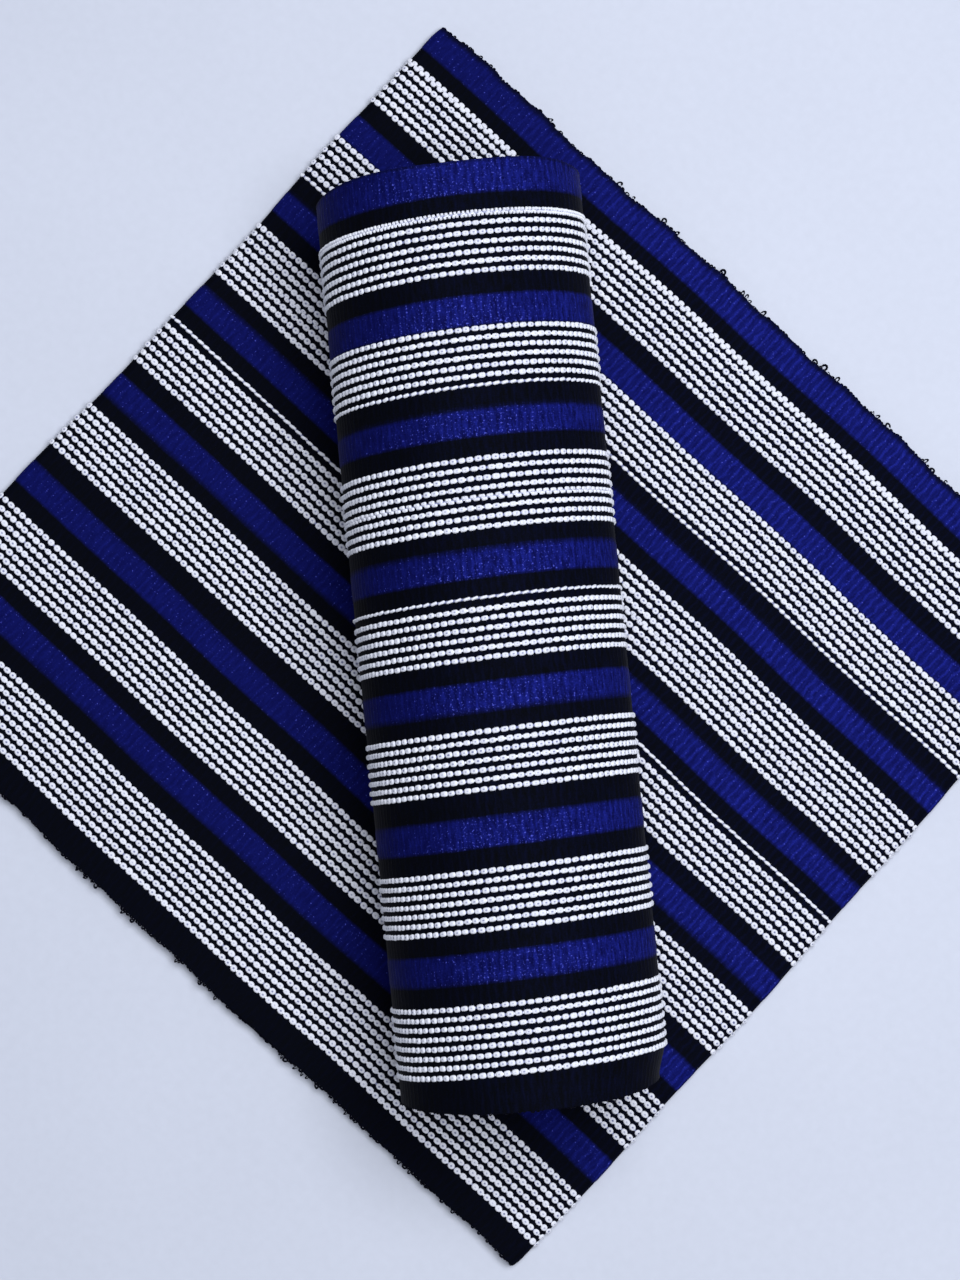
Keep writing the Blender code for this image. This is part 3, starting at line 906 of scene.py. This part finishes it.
def make_float_template(name, reach, squareness, shoulder):
    """One white float: an oval pad with a raised rim round a shallow hollow.

    reach is its half length as a share of the spacing, a low squareness makes it oblong and a low
    shoulder slopes its sides.
    """
    around = 10
    # Share of the half width, share of the height, and depth of painted shade
    rings = ((1.0, -0.15, 0.0), (shoulder, 0.6, 0.0), (0.46, 1.0, 0.0))
    half_length = sizes().float_length * reach
    half_width = sizes().float_width / 2
    height = sizes().float_height
    points = []
    hollow = []
    for share, rise, shade in rings:
        for step in range(around):
            angle = 2 * math.pi * (step + 0.5) / around
            along = math.copysign(abs(math.cos(angle)) ** squareness, math.cos(angle))
            across = math.copysign(abs(math.sin(angle)) ** squareness, math.sin(angle))
            points.append((half_length * share * along, half_width * share * across, height * rise))
            hollow.append(shade)
    points.append((0.0, 0.0, height * 0.6))
    hollow.append(1.0)
    faces = []
    for ring in range(len(rings) - 1):
        for i in range(around):
            j = (i + 1) % around
            low = ring * around
            high = low + around
            faces.append((low + i, low + j, high + j, high + i))
    top = (len(rings) - 1) * around
    faces += [(top + i, top + (i + 1) % around, len(points) - 1) for i in range(around)]
    mesh = bpy.data.meshes.new(name)
    mesh.from_pydata(points, [], faces)
    strands = [point[1] / half_width for point in points]
    for label, values in (("hollow", hollow), ("strand", strands)):
        layer = mesh.attributes.new(label, "FLOAT", "POINT")
        layer.data.foreach_set("value", values)
    mesh.shade_smooth()
    return link_piece(name, mesh)


def make_loop_template(name, radius):
    """One turn of the weft thread round a selvedge: a small arch of round thread, 1 mm wide and high."""
    around = 4
    bends = 7
    points = []
    for step in range(bends):
        angle = math.radians(-25) + math.radians(230) * step / (bends - 1)
        middle = Vector((0.5 * MM * math.cos(angle), 0.0, 0.5 * MM + 0.5 * MM * math.sin(angle)))
        outwards = Vector((math.cos(angle), 0.0, math.sin(angle)))
        for corner in range(around):
            turn = 2 * math.pi * corner / around
            points.append(middle + radius * (outwards * math.cos(turn) + Vector((0, math.sin(turn), 0))))
    faces = [tuple(range(around)), tuple(reversed(range((bends - 1) * around, bends * around)))]
    for step in range(bends - 1):
        for i in range(around):
            j = (i + 1) % around
            low = step * around
            faces.append((low + i, low + around + i, low + around + j, low + j))
    mesh = bpy.data.meshes.new(name)
    mesh.from_pydata([tuple(point) for point in points], [], faces)
    mesh.shade_smooth()
    return link_piece(name, mesh)


def white_lines(taut):
    """Every line of floats: distance from the blue selvedge, width share, length share, painted shade in
    the hollows, slant and where along its step it starts."""
    odd = {(band, row): rest for band, row, shift, *rest in ODD_ROWS}
    usual = (1, 0.0, 1.0, 1.0, USUAL_HOLLOW_SHADE, 0)
    drawn = random.Random(sizes().seed)
    lines = []
    for band, row, middle, spacing in row_middles():
        number, apart, width_share, length_share, openness, slant = odd.get((band, row), usual)
        for line in range(number):
            distance = middle + apart * (line - (number - 1) / 2)
            start = 0.5 * ((row + line) % 2) + drawn.uniform(0.0, 0.24)
            if taut and (band, row) == SPLIT_ROW:
                for half in (0.0, 0.5):
                    lines.append((distance * MM, width_share * SPLIT_WIDTH_SHARE, length_share / 2,
                                  openness, slant, start / 2 + half))
            else:
                lines.append((distance * MM, width_share, length_share, openness, slant, start))
    return lines


def trimmed(points, stands, cuts):
    """A line with these two lengths cut off its start and its end."""
    for cut in cuts:
        while (points[1] - points[0]).length < cut:
            cut -= (points[1] - points[0]).length
            points = points[1:]
            stands = stands[1:]
        start = points[0].lerp(points[1], cut / (points[1] - points[0]).length)
        points = [start, *points[1:]][::-1]
        stands = stands[::-1]
    return points, stands


def square_float_lines():
    shift = cloth_shift()
    radius = SQUARE_HEIGHT / 2
    sections = [section for section in turn_sections(radius, CUT_END_X) if floats_stand(section)]
    step = sizes().float_length
    lines = []
    for distance, width_share, length_share, openness, slant, start in white_lines(False):
        points = [shift + turn_point(s, distance, radius, 0.0, CUT_END_X, FLOAT_LIFT) for s in sections]
        stands = [Vector((s[2][0], 0.0, s[2][1])) for s in sections]
        points, stands = trimmed(points, stands, (start * step, (1 - start) * step))
        flat = [0.55 + 0.45 * max(stand.z, 0.0) for stand in stands]
        line_sizes = [(length_share, width_share, share) for share in flat]
        lines.append((points, stands, line_sizes, openness, math.radians(slant)))
    return lines


def roll_float_lines():
    matrix = Matrix.Translation(cloth_shift()) @ roll_matrix()
    turn = matrix.to_3x3()
    sections = [s for s in roll_section() if s[0].y > ROLL_FLOATS_START * ROLL_HEIGHT]
    step = sizes().float_length
    lines = []
    for distance, width_share, length_share, openness, slant, start in white_lines(True):
        points = [matrix @ roll_point(s, distance, FLOAT_LIFT) for s in sections]
        stands = [turn @ Vector((0.0, s[1].x, s[1].y)) for s in sections]
        points, stands = trimmed(points, stands, (start * step, (1 - start) * step))
        line_sizes = [(length_share, width_share * ROLL_FLOAT_WIDTH_SHARE, 1.0)] * len(points)
        lines.append((points, stands, line_sizes, openness * ROLL_HOLLOW_SHADE_SHARE,
                      math.radians(slant + ROLL_FLOAT_SLANT)))
    return lines


def selvedge_lines(past, size, shares):
    """Lines along both selvedges of the square's top and of the roll, standing outwards from them.

    shares scale the size on the square's blue and black selvedge and on the roll's, in this order.
    """
    shift = cloth_shift()
    width = sizes().cloth_width
    depth = sizes().wall * WEFT_DEPTH_SHARE
    radius = SQUARE_HEIGHT / 2
    lines = []
    sections = [s for s in turn_sections(radius, CUT_END_X) if floats_stand(s)]
    for distance, way, share in ((0.0, 1, shares[0]), (width, -1, shares[1])):
        points = [shift + turn_point(s, distance, radius, 0.0, CUT_END_X, -depth)
                  + Vector((0, way * past, 0)) for s in sections]
        stands = [Vector((0.0, way, 0.0))] * len(sections)
        line_sizes = [tuple(part * share for part in size)] * len(points)
        lines.append((points, stands, line_sizes, 0.0, 0.0))
    matrix = Matrix.Translation(cloth_shift()) @ roll_matrix()
    turn = matrix.to_3x3()
    sections = [s for s in roll_section() if s[0].y > ROLL_FLOATS_START * ROLL_HEIGHT]
    for distance, way, share in ((0.0, -1, shares[2]), (width, 1, shares[3])):
        points = [matrix @ (roll_point(s, distance, -depth) + Vector((way * past, 0, 0)))
                  for s in sections]
        stands = [turn @ Vector((way, 0.0, 0.0))] * len(sections)
        line_sizes = [tuple(part * share for part in size)] * len(points)
        lines.append((points, stands, line_sizes, 0.0, 0.0))
    return lines


# Materials

def wave_scale(pitch):
    """Scale of a Wave Texture whose bands are this far apart."""
    return 2 * math.pi / (20 * pitch)


def new_material(name, constants):
    """A material with these constants on its shader's own sockets, its tree and its shader."""
    material = bpy.data.materials.new(name)
    material.use_nodes = True
    tree = material.node_tree
    shader = tree.nodes["Principled BSDF"]
    for label, value in constants.items():
        shader.inputs[label].default_value = value
    return material, tree, shader


def dress_shader(tree, shader, colour, height=None, strength=0.0, depth=0.0):
    """Links a colour to the shader and, where a height is given, bump of this strength and depth."""
    tree.links.new(colour.socket, shader.inputs["Base Color"])
    if height is not None:
        bump = add_node(tree, "ShaderNodeBump",
                        {"Height": height, "Strength": strength, "Distance": depth}, output="Normal")
        tree.links.new(bump.socket, shader.inputs["Normal"])


def in_blue_stripe(tree, distance):
    """1 where a distance from the blue selvedge lies in a blue stripe, and 0 past its soft edges."""
    before = 2.0
    whole = sizes().cloth_width / MM + before
    share = add_node(tree, "ShaderNodeValToRGB", {0: (distance + before * MM) / (whole * MM)}, output="Color")
    ramp = share.socket.node.color_ramp
    ramp.elements[1].color = (0, 0, 0, 1)
    for start, end in BLUE_STRIPES:
        for place, shade in ((start - 0.2, 0), (start + 0.5, 1), (end - 0.7, 1), (end + 0.2, 0)):
            ramp.elements.new((place + before) / whole).color = (shade, shade, shade, 1)
    return share


def weft_ribs(tree, thread_map):
    """The weft's ribs across the stripes: 1 on a high rib, 0.13 on the low one after it, 0 between."""
    wave = add_node(tree, "ShaderNodeTexWave",
                    {"Vector": thread_map, "Scale": wave_scale(sizes().weft_spacing),
                     "Distortion": 2.6, "Detail": 2.0, "Detail Scale": 3.0},
                    output="Fac", bands_direction="X")
    return 0.133 + wave * (wave * 1.867 - 1.0)


def by_painted_light(painted_light, pair):
    """From the first of a pair to the second, from the side in painted shade to the side in painted light."""
    return pair[0] + painted_light * (pair[1] - pair[0])


def painted_light_share(tree, along, across, painted_light_slope):
    """From 0, on the side of the cloth in painted shade, to 1, on the side in painted light."""
    share_along, share_across, away, towards = painted_light_slope
    return add_node(tree, "ShaderNodeMapRange",
                    {"Value": along * share_along + across * share_across,
                     "From Min": away * MM, "From Max": towards * MM},
                    interpolation_type="SMOOTHSTEP")


def off_the_crest(tree):
    """How far the roll's surface turns away from the light above its crest."""
    normal = add_node(tree, "ShaderNodeNewGeometry", output="Normal")
    facing = add_node(tree, "ShaderNodeSeparateXYZ", {0: normal}, output="Z")
    return add_node(tree, "ShaderNodeMapRange",
                    {"Value": facing, "From Min": 0.60, "From Max": 0.96, "To Min": 0.10, "To Max": 0.0})


def striped_cotton(name, edge_shade, edge_blue, shade, ribs, noise, painted_light_slope, specks_from, specked_side,
                   lit_crest):
    """Hand-loomed cotton in royal blue and black warp stripes.

    Dull plain weave with high and low weft ribs by turns across the stripes. The ribs catch the light
    on the blue in painted light and shade, where glossier bits of thread show as painted glints, bright
    specks, most of them along one edge of each stripe, and the black stays almost without detail. On the
    side of the cloth towards the light the blue is painted lighter and its ribs stand out more, and on the
    side away from it the blue is in painted shade.

    shade, ribs and noise are pairs, for the side in painted shade and the side in painted light: how light
    the blue is, and how much its ribs and its threads differ. painted_light_slope gives the shares of the
    distances along and across the threads, and the sums in mm at which the cloth is in painted shade and in
    painted light.
    edge_shade is how far in the blue darkens towards its selvedge, partly as the black weft turns round it
    and partly as painted shade where the edge rolls down, and edge_blue the share of blue left there.
    Bits of thread shine as painted glints from specks_from up, most of them on the specked_side of a
    stripe, and lit_crest paints them along the roll's crest and fewer on its sides, which turn from the
    light.
    """
    material, tree, shader = new_material(name, {
        "Roughness": 0.75, "Specular IOR Level": 0.02, "Sheen Weight": 0.02, "Sheen Roughness": 0.3})
    thread_map = add_node(tree, "ShaderNodeUVMap", output="UV", uv_map="thread_map")
    along = add_node(tree, "ShaderNodeSeparateXYZ", {0: thread_map}, output="X")
    across = add_node(tree, "ShaderNodeSeparateXYZ", {0: thread_map}, output="Y")
    # Stripe edges wander by a thread or so, which is 0.3 mm
    wander = add_node(tree, "ShaderNodeTexNoise",
                      {"Vector": thread_map, "Scale": 1 / (4 * MM), "Detail": 2.0})
    off = (wander - 0.5) * (0.7 * MM)
    stripes = in_blue_stripe(tree, across + off)
    beside = in_blue_stripe(tree, across + off + specked_side * 1.4 * MM)
    weft = weft_ribs(tree, thread_map)
    # Warp threads, drawn 0.8 mm apart so that they show, run along the stripes
    warp = add_node(tree, "ShaderNodeTexWave",
                    {"Vector": thread_map, "Scale": wave_scale(0.8 * MM),
                     "Distortion": 1.6, "Detail": 1.0, "Detail Scale": 0.5},
                    output="Fac", bands_direction="Y")
    patches = add_node(tree, "ShaderNodeTexNoise",
                       {"Vector": thread_map, "Scale": 1 / (15 * MM), "Detail": 1.0})
    # A warp thread shows as a dash where it crosses a rib, and the ribs fade between patches
    broken = weft * (warp + patches + 1.0)
    stretch = add_node(tree, "ShaderNodeMapping", {"Vector": thread_map, "Scale": (760.0, 210.0, 1.0)})
    streaks = add_node(tree, "ShaderNodeTexNoise", {"Vector": stretch, "Scale": 1.0, "Detail": 2.0})
    # Painted glints on glossy bits of thread, about 0.6 mm long
    bits = add_node(tree, "ShaderNodeTexNoise",
                    {"Vector": thread_map, "Scale": 1 / (0.75 * MM), "Detail": 1.0})
    threads = streaks * 0.70 + patches * 0.12 + bits * 0.40
    # Painted light: the blue is lighter on the side of the cloth towards the light, and in painted shade on
    # the side away from it
    painted_light = painted_light_share(tree, along, across, painted_light_slope)
    # The ribs and the threads lighten the blue above their own means and darken it below them
    tone = by_painted_light(painted_light, shade) + by_painted_light(painted_light, ribs) * (broken - 0.67)
    tone += by_painted_light(painted_light, noise) * (threads - 0.61)
    lit = add_node(tree, "ShaderNodeMapRange", {"Value": tone}, interpolation_type="SMOOTHSTEP")
    # Both the blue and the black go from painted shade to full light as lit rises
    blue = add_node(tree, "ShaderNodeMix",
                    {"Factor": lit, "A": tuple(colours().shaded_blue), "B": tuple(colours().blue)},
                    output="Result", data_type="RGBA")
    bits += weft * 0.07
    bits += (stripes - beside).work("MAXIMUM", 0.0) * 0.055
    if lit_crest:
        # Painted glints: the glossy bits are painted along the roll's crest, which faces the light, and fewer
        # on both sides, which turn away from it
        bits -= off_the_crest(tree)
    specks = add_node(tree, "ShaderNodeMapRange",
                      {"Value": bits, "From Min": specks_from, "From Max": specks_from + 0.11,
                       "To Max": 0.65})
    specked = add_node(tree, "ShaderNodeMix", {"Factor": specks, "A": blue, "B": linear(PAINTED_GLINT_BLUE)},
                       output="Result", data_type="RGBA")
    black = add_node(tree, "ShaderNodeMix",
                     {"Factor": lit, "A": linear(SHADED_BLACK), "B": tuple(colours().black)},
                     output="Result", data_type="RGBA")
    # The blue darkens towards its selvedge: the black weft turns round it there, and painted shade stands for
    # the edge rolling down
    at_edge = add_node(tree, "ShaderNodeMapRange",
                       {"Value": across + off * 2.5, "From Min": 0.3 * MM, "From Max": edge_shade,
                        "To Min": edge_blue, "To Max": 1.0}, interpolation_type="SMOOTHSTEP")
    ground = add_node(tree, "ShaderNodeMix", {"Factor": stripes * at_edge, "A": black, "B": specked},
                      output="Result", data_type="RGBA")
    # White rows: a thin core under the raised floats, and flat rows where the cloth has none, with painted
    # shade between their weft ribs
    crown = add_node(tree, "ShaderNodeAttribute", output="Fac", attribute_name="row_crown")
    bare = add_node(tree, "ShaderNodeAttribute", output="Fac", attribute_name="bare_rows")
    low = 0.72 - bare * 0.42
    in_row = add_node(tree, "ShaderNodeMapRange", {"Value": crown, "From Min": low, "From Max": low + 0.10})
    white = add_node(tree, "ShaderNodeMix",
                     {"Factor": weft, "A": tuple(colours().shaded_white), "B": tuple(colours().white)},
                     output="Result", data_type="RGBA")
    finish = add_node(tree, "ShaderNodeMix", {"Factor": in_row, "A": ground, "B": white},
                      output="Result", data_type="RGBA")
    fibres = add_node(tree, "ShaderNodeTexNoise",
                      {"Vector": thread_map, "Scale": 1 / (0.35 * MM), "Detail": 1.0})
    dress_shader(tree, shader, finish, broken * 0.26 + fibres * 0.25, 0.45, 0.3 * MM)
    return material


def white_cotton():
    """Thick soft white cotton yarn in raised floats.

    Matt and bright, with painted shade in the hollow in the middle of each float and between its
    strands, and a slight difference in tone from one float to the next.
    """
    material, tree, shader = new_material("soft_white_cotton_floats", {
        "Roughness": 0.85, "Specular IOR Level": 0.25, "Sheen Weight": 0.08})
    hollow = add_node(tree, "ShaderNodeAttribute", output="Fac", attribute_name="hollow")
    openness = add_node(tree, "ShaderNodeAttribute", output="Fac", attribute_name="open_loop")
    tone = add_node(tree, "ShaderNodeAttribute", output="Fac", attribute_name="tone")
    strand = add_node(tree, "ShaderNodeAttribute", output="Fac", attribute_name="strand")
    place = add_node(tree, "ShaderNodeTexCoord", output="Object")
    # Fibres of the yarn, about 0.3 mm apart
    fibres = add_node(tree, "ShaderNodeTexNoise",
                      {"Vector": place, "Scale": 1 / (0.30 * MM), "Detail": 2.0})
    # Each float is five strands side by side, with painted shade between them
    strand_ridge = abs((strand * (2.5 * math.pi)).work("SINE"))
    # Painted shade in the hollow in the middle of each float
    depth = hollow * (openness * (tone + 0.4))
    shade = depth + (1.0 - strand_ridge) * 0.10 + fibres * 0.10
    shade = (shade + tone * 0.06).work("MINIMUM", 1.0)
    colour = add_node(tree, "ShaderNodeMix",
                      {"Factor": shade, "A": tuple(colours().white), "B": tuple(colours().shaded_white)},
                      output="Result", data_type="RGBA")
    dress_shader(tree, shader, colour, strand_ridge + fibres * 0.6, 0.35, 0.2 * MM)
    return material


def black_weft():
    """Spun black cotton weft with a faint blue cast, matt, its twist showing as a fine ripple."""
    material, tree, shader = new_material("spun_black_cotton_weft", {
        "Roughness": 0.85, "Specular IOR Level": 0.05})
    place = add_node(tree, "ShaderNodeTexCoord", output="Object")
    twist = add_node(tree, "ShaderNodeTexNoise",
                     {"Vector": place, "Scale": 1 / (0.4 * MM), "Detail": 1.0})
    colour = add_node(tree, "ShaderNodeMix",
                      {"Factor": twist, "A": linear("#020206"), "B": linear("#0C0C18")},
                      output="Result", data_type="RGBA")
    dress_shader(tree, shader, colour, twist, 0.4, 0.15 * MM)
    return material


def floor_board():
    """Matt painted board, pale and cool, with a faint unevenness that keeps it from looking flat."""
    material, tree, shader = new_material("matt_painted_board", {
        "Roughness": 0.6, "Specular IOR Level": 0.3})
    place = add_node(tree, "ShaderNodeTexCoord", output="Object")
    clouds = add_node(tree, "ShaderNodeTexNoise", {"Vector": place, "Scale": 9.0, "Detail": 3.0})
    grain = add_node(tree, "ShaderNodeTexNoise", {"Vector": place, "Scale": 260.0, "Detail": 2.0})
    base = colours().floor
    darker = tuple(part * 0.87 for part in base[:3]) + (1.0,)
    colour = add_node(tree, "ShaderNodeMix",
                      {"Factor": clouds * 0.5 + grain * 0.5, "A": darker, "B": tuple(base)},
                      output="Result", data_type="RGBA")
    dress_shader(tree, shader, colour)
    return material


# Operators, one for each group of pieces

class CLOTH_OT_folded_square(bpy.types.Operator):
    """Make the flat-wound square: its outer turn and the turn hidden inside it."""

    bl_idname = "cloth.folded_square"
    bl_label = "Folded square"

    def execute(self, context):
        wall = sizes().wall
        radius = SQUARE_HEIGHT / 2
        # Painted light: the square's blue is lighter towards its right fold and its blue selvedge, and in
        # painted shade away from them
        weave = striped_cotton(
            "handloom_striped_cotton", edge_shade=3.2 * MM, edge_blue=0.12, shade=(0.27, 0.41),
            ribs=(0.036, 0.14), noise=(0.42, 0.66), painted_light_slope=(0.735, 0.677, 490, 360), specks_from=0.72,
            specked_side=-1, lit_crest=False)
        outer = make_flat_turn("square_outer", weft_stations(), radius, 0.0, CUT_END_X, wall, weave,
                               lambda x, side: 0.0)
        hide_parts("folded_outer_turn")
        fit_piece(outer)
        inner_radius = radius - wall - GAP
        inner_wall = inner_radius - GAP / 2
        phases = (0.0, 140 * MM)

        def past(x, side):
            return waves(x + phases[side], INNER_TURN_WAVES) - 0.2 * MM

        layers = striped_cotton(
            "handloom_cotton_layers", edge_shade=4 * MM, edge_blue=0.4, shade=(0.4, 0.4),
            ribs=(0.1, 0.1), noise=(0.6, 0.6), painted_light_slope=(1, 0, 1, 0), specks_from=0.72,
            specked_side=1, lit_crest=False)
        inner = make_flat_turn("square_inner", plain_stations(), inner_radius, wall + GAP,
                               HIDDEN_CUT_END_X, inner_wall, layers, past)
        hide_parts("folded_hidden_layers")
        fit_piece(inner)
        return {"FINISHED"}


class CLOTH_OT_roll(bpy.types.Operator):
    """Make the roll: its outer turn and the sheet wound up inside it."""

    bl_idname = "cloth.roll"
    bl_label = "Roll"

    def execute(self, context):
        # Painted light: the roll's blue is in painted shade on its left side, and painted glints lie along
        # its crest
        outer = make_roll_outer_turn(
            striped_cotton(
                "handloom_cotton_roll_painted_light", edge_shade=1.6 * MM, edge_blue=0.45, shade=(0.24, 0.36),
                ribs=(0.035, 0.085), noise=(0.65, 1.25), painted_light_slope=(1, 0, 1205, 1160), specks_from=0.665,
                specked_side=1, lit_crest=True))
        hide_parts("roll_outer_turn")
        fit_piece(outer)
        inner = make_roll_inner_turns(bpy.data.materials["handloom_cotton_layers"])
        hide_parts("roll_inner_turns")
        fit_piece(inner)
        return {"FINISHED"}


class CLOTH_OT_white_floats(bpy.types.Operator):
    """Set the raised white floats in rows on the square and round the roll."""

    bl_idname = "cloth.white_floats"
    bl_label = "White floats"

    def execute(self, context):
        loose = make_float_template("loose_float", 0.48, 0.90, 0.92)
        taut = make_float_template("taut_float", 0.443, 0.60, 0.83)
        tree = small_things_tree()
        settings = {
            "Spacing": sizes().float_length, "Size Spread": (0.09, 0.08, 0.14),
            "Turn Spread": (0.06, 0.06, 0.08), "Place Spread": (0.16 * MM, 0.08 * MM, 0.0),
            "Kept Share": 2.0, "Seed": sizes().seed, "Material": white_cotton()}
        parts = (("square", square_float_lines(), loose), ("roll", roll_float_lines(), taut))
        for part, lines, template in parts:
            half = len(lines) // 2
            for side, chosen in (("blue_side", lines[:half]), ("black_side", lines[half:])):
                piece = set_along(f"{part}_floats_{side}", tree, chosen, template, settings)
                fit_piece(piece)
            bpy.data.objects.remove(template)
        return {"FINISHED"}


class CLOTH_OT_selvedge_loops(bpy.types.Operator):
    """Set the weft's turns and its loose loops along the selvedges."""

    bl_idname = "cloth.selvedge_loops"
    bl_label = "Selvedge loops"

    def execute(self, context):
        tight = make_loop_template("tight_turn", sizes().thread_width * 0.75)
        loose = make_loop_template("loose_loop", sizes().thread_width * 0.5)
        tree = small_things_tree()
        weft = black_weft()
        turns = selvedge_lines(-0.5 * MM, (1.5, 1.6, 1.1), (0.7, 0.85, 0.3, 0.6))
        piece = set_along("selvedge_turns", tree, turns, tight, {
            "Spacing": 1.6 * MM, "Size Spread": (0.25, 0.2, 0.35), "Turn Spread": (0.3, 0.3, 0.3),
            "Place Spread": (0.25 * MM, 0.1 * MM, 0.2 * MM), "Kept Share": 2.0,
            "Seed": sizes().seed + 1, "Material": weft})
        fit_piece(piece)
        high = sizes().loop_height / MM
        loops = selvedge_lines(-0.2 * MM, (high, 1.0, high), (0.9, 0.8, 0.35, 0.6))
        piece = set_along("loose_loops", tree, loops, loose, {
            "Spacing": 2.4 * MM, "Size Spread": (0.4, 0.2, 0.6), "Turn Spread": (0.5, 0.5, 1.2),
            "Place Spread": (0.8 * MM, 0.2 * MM, 0.3 * MM), "Kept Share": 0.24, "Grouping": 1.7,
            "Seed": sizes().seed + 2, "Material": weft})
        fit_piece(piece)
        for template in (tight, loose):
            bpy.data.objects.remove(template)
        return {"FINISHED"}


class CLOTH_OT_cut_sizes(bpy.types.Operator):
    """Work out the length round the roll and the length of its wound turns; neither is shown or kept."""

    bl_idname = "cloth.cut_sizes"
    bl_label = "Cut sizes"

    def execute(self, context):
        perimeter = roll_perimeter()
        wound = (perimeter - 2 * math.pi * (sizes().wall + GAP)) * INNER_TURNS * (1 + CORE_SHARE) / 2
        return {"FINISHED"}


def add_soft_light(name, place, power):
    """A round light that faces the middle of the cloth."""
    data = bpy.data.lights.new(name, "AREA")
    data.shape = "DISK"
    data.size = LIGHT_SIZE
    data.energy = power
    data.color = LIGHT_COLOUR
    light = bpy.data.objects.new(name, data)
    bpy.context.scene.collection.objects.link(light)
    light.location = place
    light.rotation_euler = (-Vector(place)).to_track_quat("-Z", "Y").to_euler()


def add_camera():
    """The camera looks almost straight down, with its level turned against the stripes."""
    shift = cloth_shift()
    place = Vector(CAMERA_PLACE) + shift
    forward = (Vector(CAMERA_AIM) + shift - place).normalized()
    level = Vector((math.cos(CAMERA_LEVEL_TURN), math.sin(CAMERA_LEVEL_TURN), 0.0))
    right = (level - forward * level.dot(forward)).normalized()
    up = right.cross(forward)
    data = bpy.data.cameras.new("camera")
    data.lens = CAMERA_LENS_MM
    data.clip_start = 0.05
    camera = bpy.data.objects.new("camera", data)
    turn = Matrix((right, up, -forward)).transposed()
    camera.matrix_world = Matrix.Translation(place) @ turn.to_4x4()
    bpy.context.scene.collection.objects.link(camera)
    bpy.context.scene.camera = camera


class CLOTH_OT_stage(bpy.types.Operator):
    """Make the floor, the soft light and the camera."""

    bl_idname = "cloth.stage"
    bl_label = "Stage"

    def execute(self, context):
        half = FLOOR_SIZE / 2
        mesh = bpy.data.meshes.new("floor")
        corners = [(-half, -half), (half, -half), (half, half), (-half, half)]
        mesh.from_pydata([(x, y, -FLOOR_DROP) for x, y in corners], [], [(0, 1, 2, 3)])
        mesh.materials.append(floor_board())
        link_piece("floor", mesh)
        for name, place, power in LIGHTS:
            add_soft_light(name, place, power)
        world = bpy.data.worlds.new("pale_room")
        world.use_nodes = True
        background = world.node_tree.nodes["Background"]
        background.inputs["Color"].default_value = linear("#DCE2F4")
        background.inputs["Strength"].default_value = ROOM_STRENGTH
        context.scene.world = world
        context.scene.view_settings.view_transform = "Standard"
        add_camera()
        return {"FINISHED"}


class CLOTH_PT_panel(bpy.types.Panel):
    """Lists the cloth's pieces and its sizes."""

    bl_idname = "CLOTH_PT_panel"
    bl_label = "Wrapper cloth"
    bl_space_type = "VIEW_3D"
    bl_region_type = "UI"
    bl_category = "Cloth"

    def draw(self, context):
        for operator in OPERATORS:
            self.layout.operator(operator.bl_idname)
        for group in (context.scene.cloth_sizes, context.scene.cloth_colours):
            for name in group.__annotations__:
                self.layout.prop(group, name)


OPERATORS = (CLOTH_OT_folded_square, CLOTH_OT_roll, CLOTH_OT_white_floats, CLOTH_OT_selvedge_loops,
             CLOTH_OT_cut_sizes, CLOTH_OT_stage)
CLASSES = (ClothSizes, ClothColours, *OPERATORS, CLOTH_PT_panel)


def register():
    for kind in CLASSES:
        bpy.utils.register_class(kind)
    bpy.types.Scene.cloth_sizes = PointerProperty(type=ClothSizes)
    bpy.types.Scene.cloth_colours = PointerProperty(type=ClothColours)


def unregister():
    del bpy.types.Scene.cloth_colours
    del bpy.types.Scene.cloth_sizes
    for kind in reversed(CLASSES):
        bpy.utils.unregister_class(kind)


def main():
    register()
    bpy.ops.cloth.folded_square()
    bpy.ops.cloth.roll()
    bpy.ops.cloth.white_floats()
    bpy.ops.cloth.selvedge_loops()
    bpy.ops.cloth.stage()
    bpy.ops.cloth.cut_sizes()


if __name__ == "__main__":
    main()
